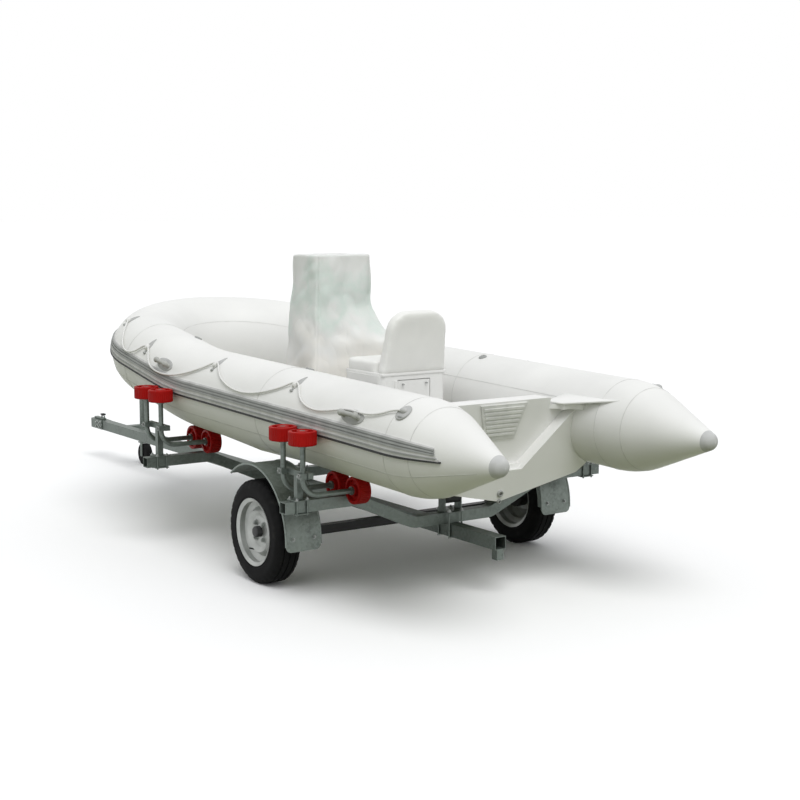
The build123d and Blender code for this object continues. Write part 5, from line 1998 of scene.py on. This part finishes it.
class Studio:
    """Floor, lamps, world and the camera."""

    EYE_BEHIND_AXLE, EYE_Y, EYE_Z = 6.9418, 4.691, 2.011
    YAW, PITCH, ROLL = -34.08, -7.41, -0.05
    FOCAL_PIXELS, PICTURE = 1501.1, 800.0
    SENSOR = 36.0
    SKY = 0.64
    SUN = 1.62
    SUN_ANGLE = 40.0
    SUN_FROM = (-3.0, 1.0, 5.0)
    BOUNCE = (0.17, 0.19, 0.09, 1.0)
    SKY_COLOUR = (0.97, 0.985, 1.0, 1.0)
    WHITE = (1.0, 1.0, 1.0, 1.0)
    FLOOR_HALF = 160.0
    FAR = 500.0

    def camera(self) -> None:
        """Places the camera at the photograph's viewing angle."""
        low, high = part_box("tyre_port")
        eye = Vector(((low.x + high.x) / 2 - self.EYE_BEHIND_AXLE, self.EYE_Y, self.EYE_Z))
        yaw, pitch, roll = (math.radians(angle) for angle in (self.YAW, self.PITCH, self.ROLL))
        ahead = Vector((math.cos(yaw) * math.cos(pitch), math.sin(yaw) * math.cos(pitch), math.sin(pitch)))
        right = Vector((math.sin(yaw), -math.cos(yaw), 0))
        up = right.cross(ahead)
        turn = Matrix((right, up, -ahead)).transposed().to_4x4() @ Matrix.Rotation(roll, 4, "Z")
        data = bpy.data.cameras.new("camera")
        data.sensor_width = self.SENSOR
        data.lens = self.FOCAL_PIXELS / self.PICTURE * self.SENSOR
        data.clip_end = self.FAR
        camera = bpy.data.objects.new("camera", data)
        camera.matrix_world = Matrix.Translation(eye) @ turn
        bpy.context.scene.collection.objects.link(camera)
        bpy.context.scene.camera = camera

    @staticmethod
    def seen_directly(tree: bpy.types.NodeTree) -> object:
        """A value that is 1 for rays from the camera, a mirror or glass.

        Args:
            tree: The node tree that gets the nodes.

        Returns:
            The value's output.
        """
        path = tree.nodes.new("ShaderNodeLightPath")
        value = path.outputs["Is Camera Ray"]
        for name in ("Is Glossy Ray", "Is Transmission Ray"):
            node = tree.nodes.new("ShaderNodeMath")
            node.operation = "MAXIMUM"
            tree.links.new(value, node.inputs[0])
            tree.links.new(path.outputs[name], node.inputs[1])
            value = node.outputs["Value"]
        return value

    def floor(self) -> None:
        """A plain pale floor that throws less light back at the set than it shows."""
        form = bmesh.new()
        bmesh.ops.create_grid(form, x_segments=1, y_segments=1, size=self.FLOOR_HALF)
        sheet = Sheet("floor_pale", (1.0, 1.0, 1.0), 1.0)
        sheet.set("Specular IOR Level", 0.0)
        mix = sheet.nodes.new("ShaderNodeMix")
        mix.data_type = "RGBA"
        mix.inputs["A"].default_value = self.BOUNCE
        mix.inputs["B"].default_value = self.WHITE
        sheet.links.new(self.seen_directly(sheet.material.node_tree), mix.inputs["Factor"])
        sheet.feed(mix.outputs["Result"], "Base Color")
        new_piece("floor", to_mesh("floor", form), sheet.material)

    def world(self) -> None:
        """A pale even sky that also fills the background."""
        world = bpy.data.worlds.new("sky")
        world.use_nodes = True
        tree = world.node_tree
        sky = tree.nodes["Background"]
        sky.inputs["Color"].default_value = self.SKY_COLOUR
        sky.inputs["Strength"].default_value = self.SKY
        seen = tree.nodes.new("ShaderNodeBackground")
        seen.inputs["Color"].default_value = self.WHITE
        mix = tree.nodes.new("ShaderNodeMixShader")
        tree.links.new(self.seen_directly(tree), mix.inputs["Fac"])
        tree.links.new(sky.outputs["Background"], mix.inputs[1])
        tree.links.new(seen.outputs["Background"], mix.inputs[2])
        tree.links.new(mix.outputs["Shader"], tree.nodes["World Output"].inputs["Surface"])
        bpy.context.scene.world = world

    def lamps(self) -> None:
        """One broad soft lamp from above the camera's side."""
        data = bpy.data.lights.new("key", "SUN")
        data.energy = self.SUN
        data.angle = math.radians(self.SUN_ANGLE)
        lamp = bpy.data.objects.new("key", data)
        lamp.rotation_euler = (-Vector(self.SUN_FROM)).to_track_quat("-Z", "Y").to_euler()
        bpy.context.scene.collection.objects.link(lamp)

    def build(self) -> None:
        """Sets the stage."""
        self.camera()
        self.floor()
        self.world()
        self.lamps()
        bpy.context.scene.view_settings.view_transform = "Standard"


def dress_nodes(look: Finishes) -> None:
    """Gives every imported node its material.

    Args:
        look: The set's finishes.
    """
    by_slot = {
        "hull_tube": look.tube, "grey_rubber": look.grey, "gelcoat": look.gelcoat, "deck_grip": look.deck,
        "pad_plastic": look.pad, "dark_plastic": look.dark, "clear_screen": look.clear,
        "milky_film": look.film, "seat_vinyl": look.vinyl, "rope": look.rope, "galvanised": look.zinc,
        "axle_paint": look.black,
        "tyre_rubber": look.tyre, "rim_silver": look.rim, "hub_iron": look.hub, "red_roller": look.red,
        "jockey_rubber": look.tyre,
    }
    own = {
        "cone_caps": look.cap, "keel_roller": look.dark, "drain_plug": look.pale,
        "mudguard_port": look.sheet_zinc, "mudguard_starboard": look.sheet_zinc,
    }
    for row in frame["record"]["subparts"]:
        node = frame["nodes"][row["node"]]
        node.data.materials.clear()
        node.data.materials.append(own.get(row["node"], by_slot[row["material_slot"]]))


def main() -> None:
    """Builds the stage, the finishes and every dressed piece."""
    logging.basicConfig(level=logging.INFO, format="%(message)s")
    Studio().build()
    look = Finishes()
    dress_nodes(look)
    collar = Collar()
    made = [Lifeline(collar, side).build(look) for side in Side]
    made += [RubStrake(collar).build(look), TubeSeams(collar).build(look)]
    made += [RopeHolders(collar).build(look), CarryHandles(collar).build(look)]
    for side in Side:
        made += [RoadTyre(side).build(look), WheelTrim(side).build(look), GuardBeads(side).build(look)]
    made += Cradles(collar).build(look)
    made += FrameFittings().build(look)
    made += SternFittings().build(look)
    made += [LedgeWings().build(look), BowLiner(collar).build(look)]
    made.append(ConsoleFilm().build(look))
    made.append(SeatPad("seat_cushion", "cushion").build(look))
    made.append(SeatPad("seat_backrest", "backrest").build(look))
    for piece in made:
        log.info("%s: %d faces", piece.name, len(piece.data.polygons))


if __name__ == "__main__":
    main()
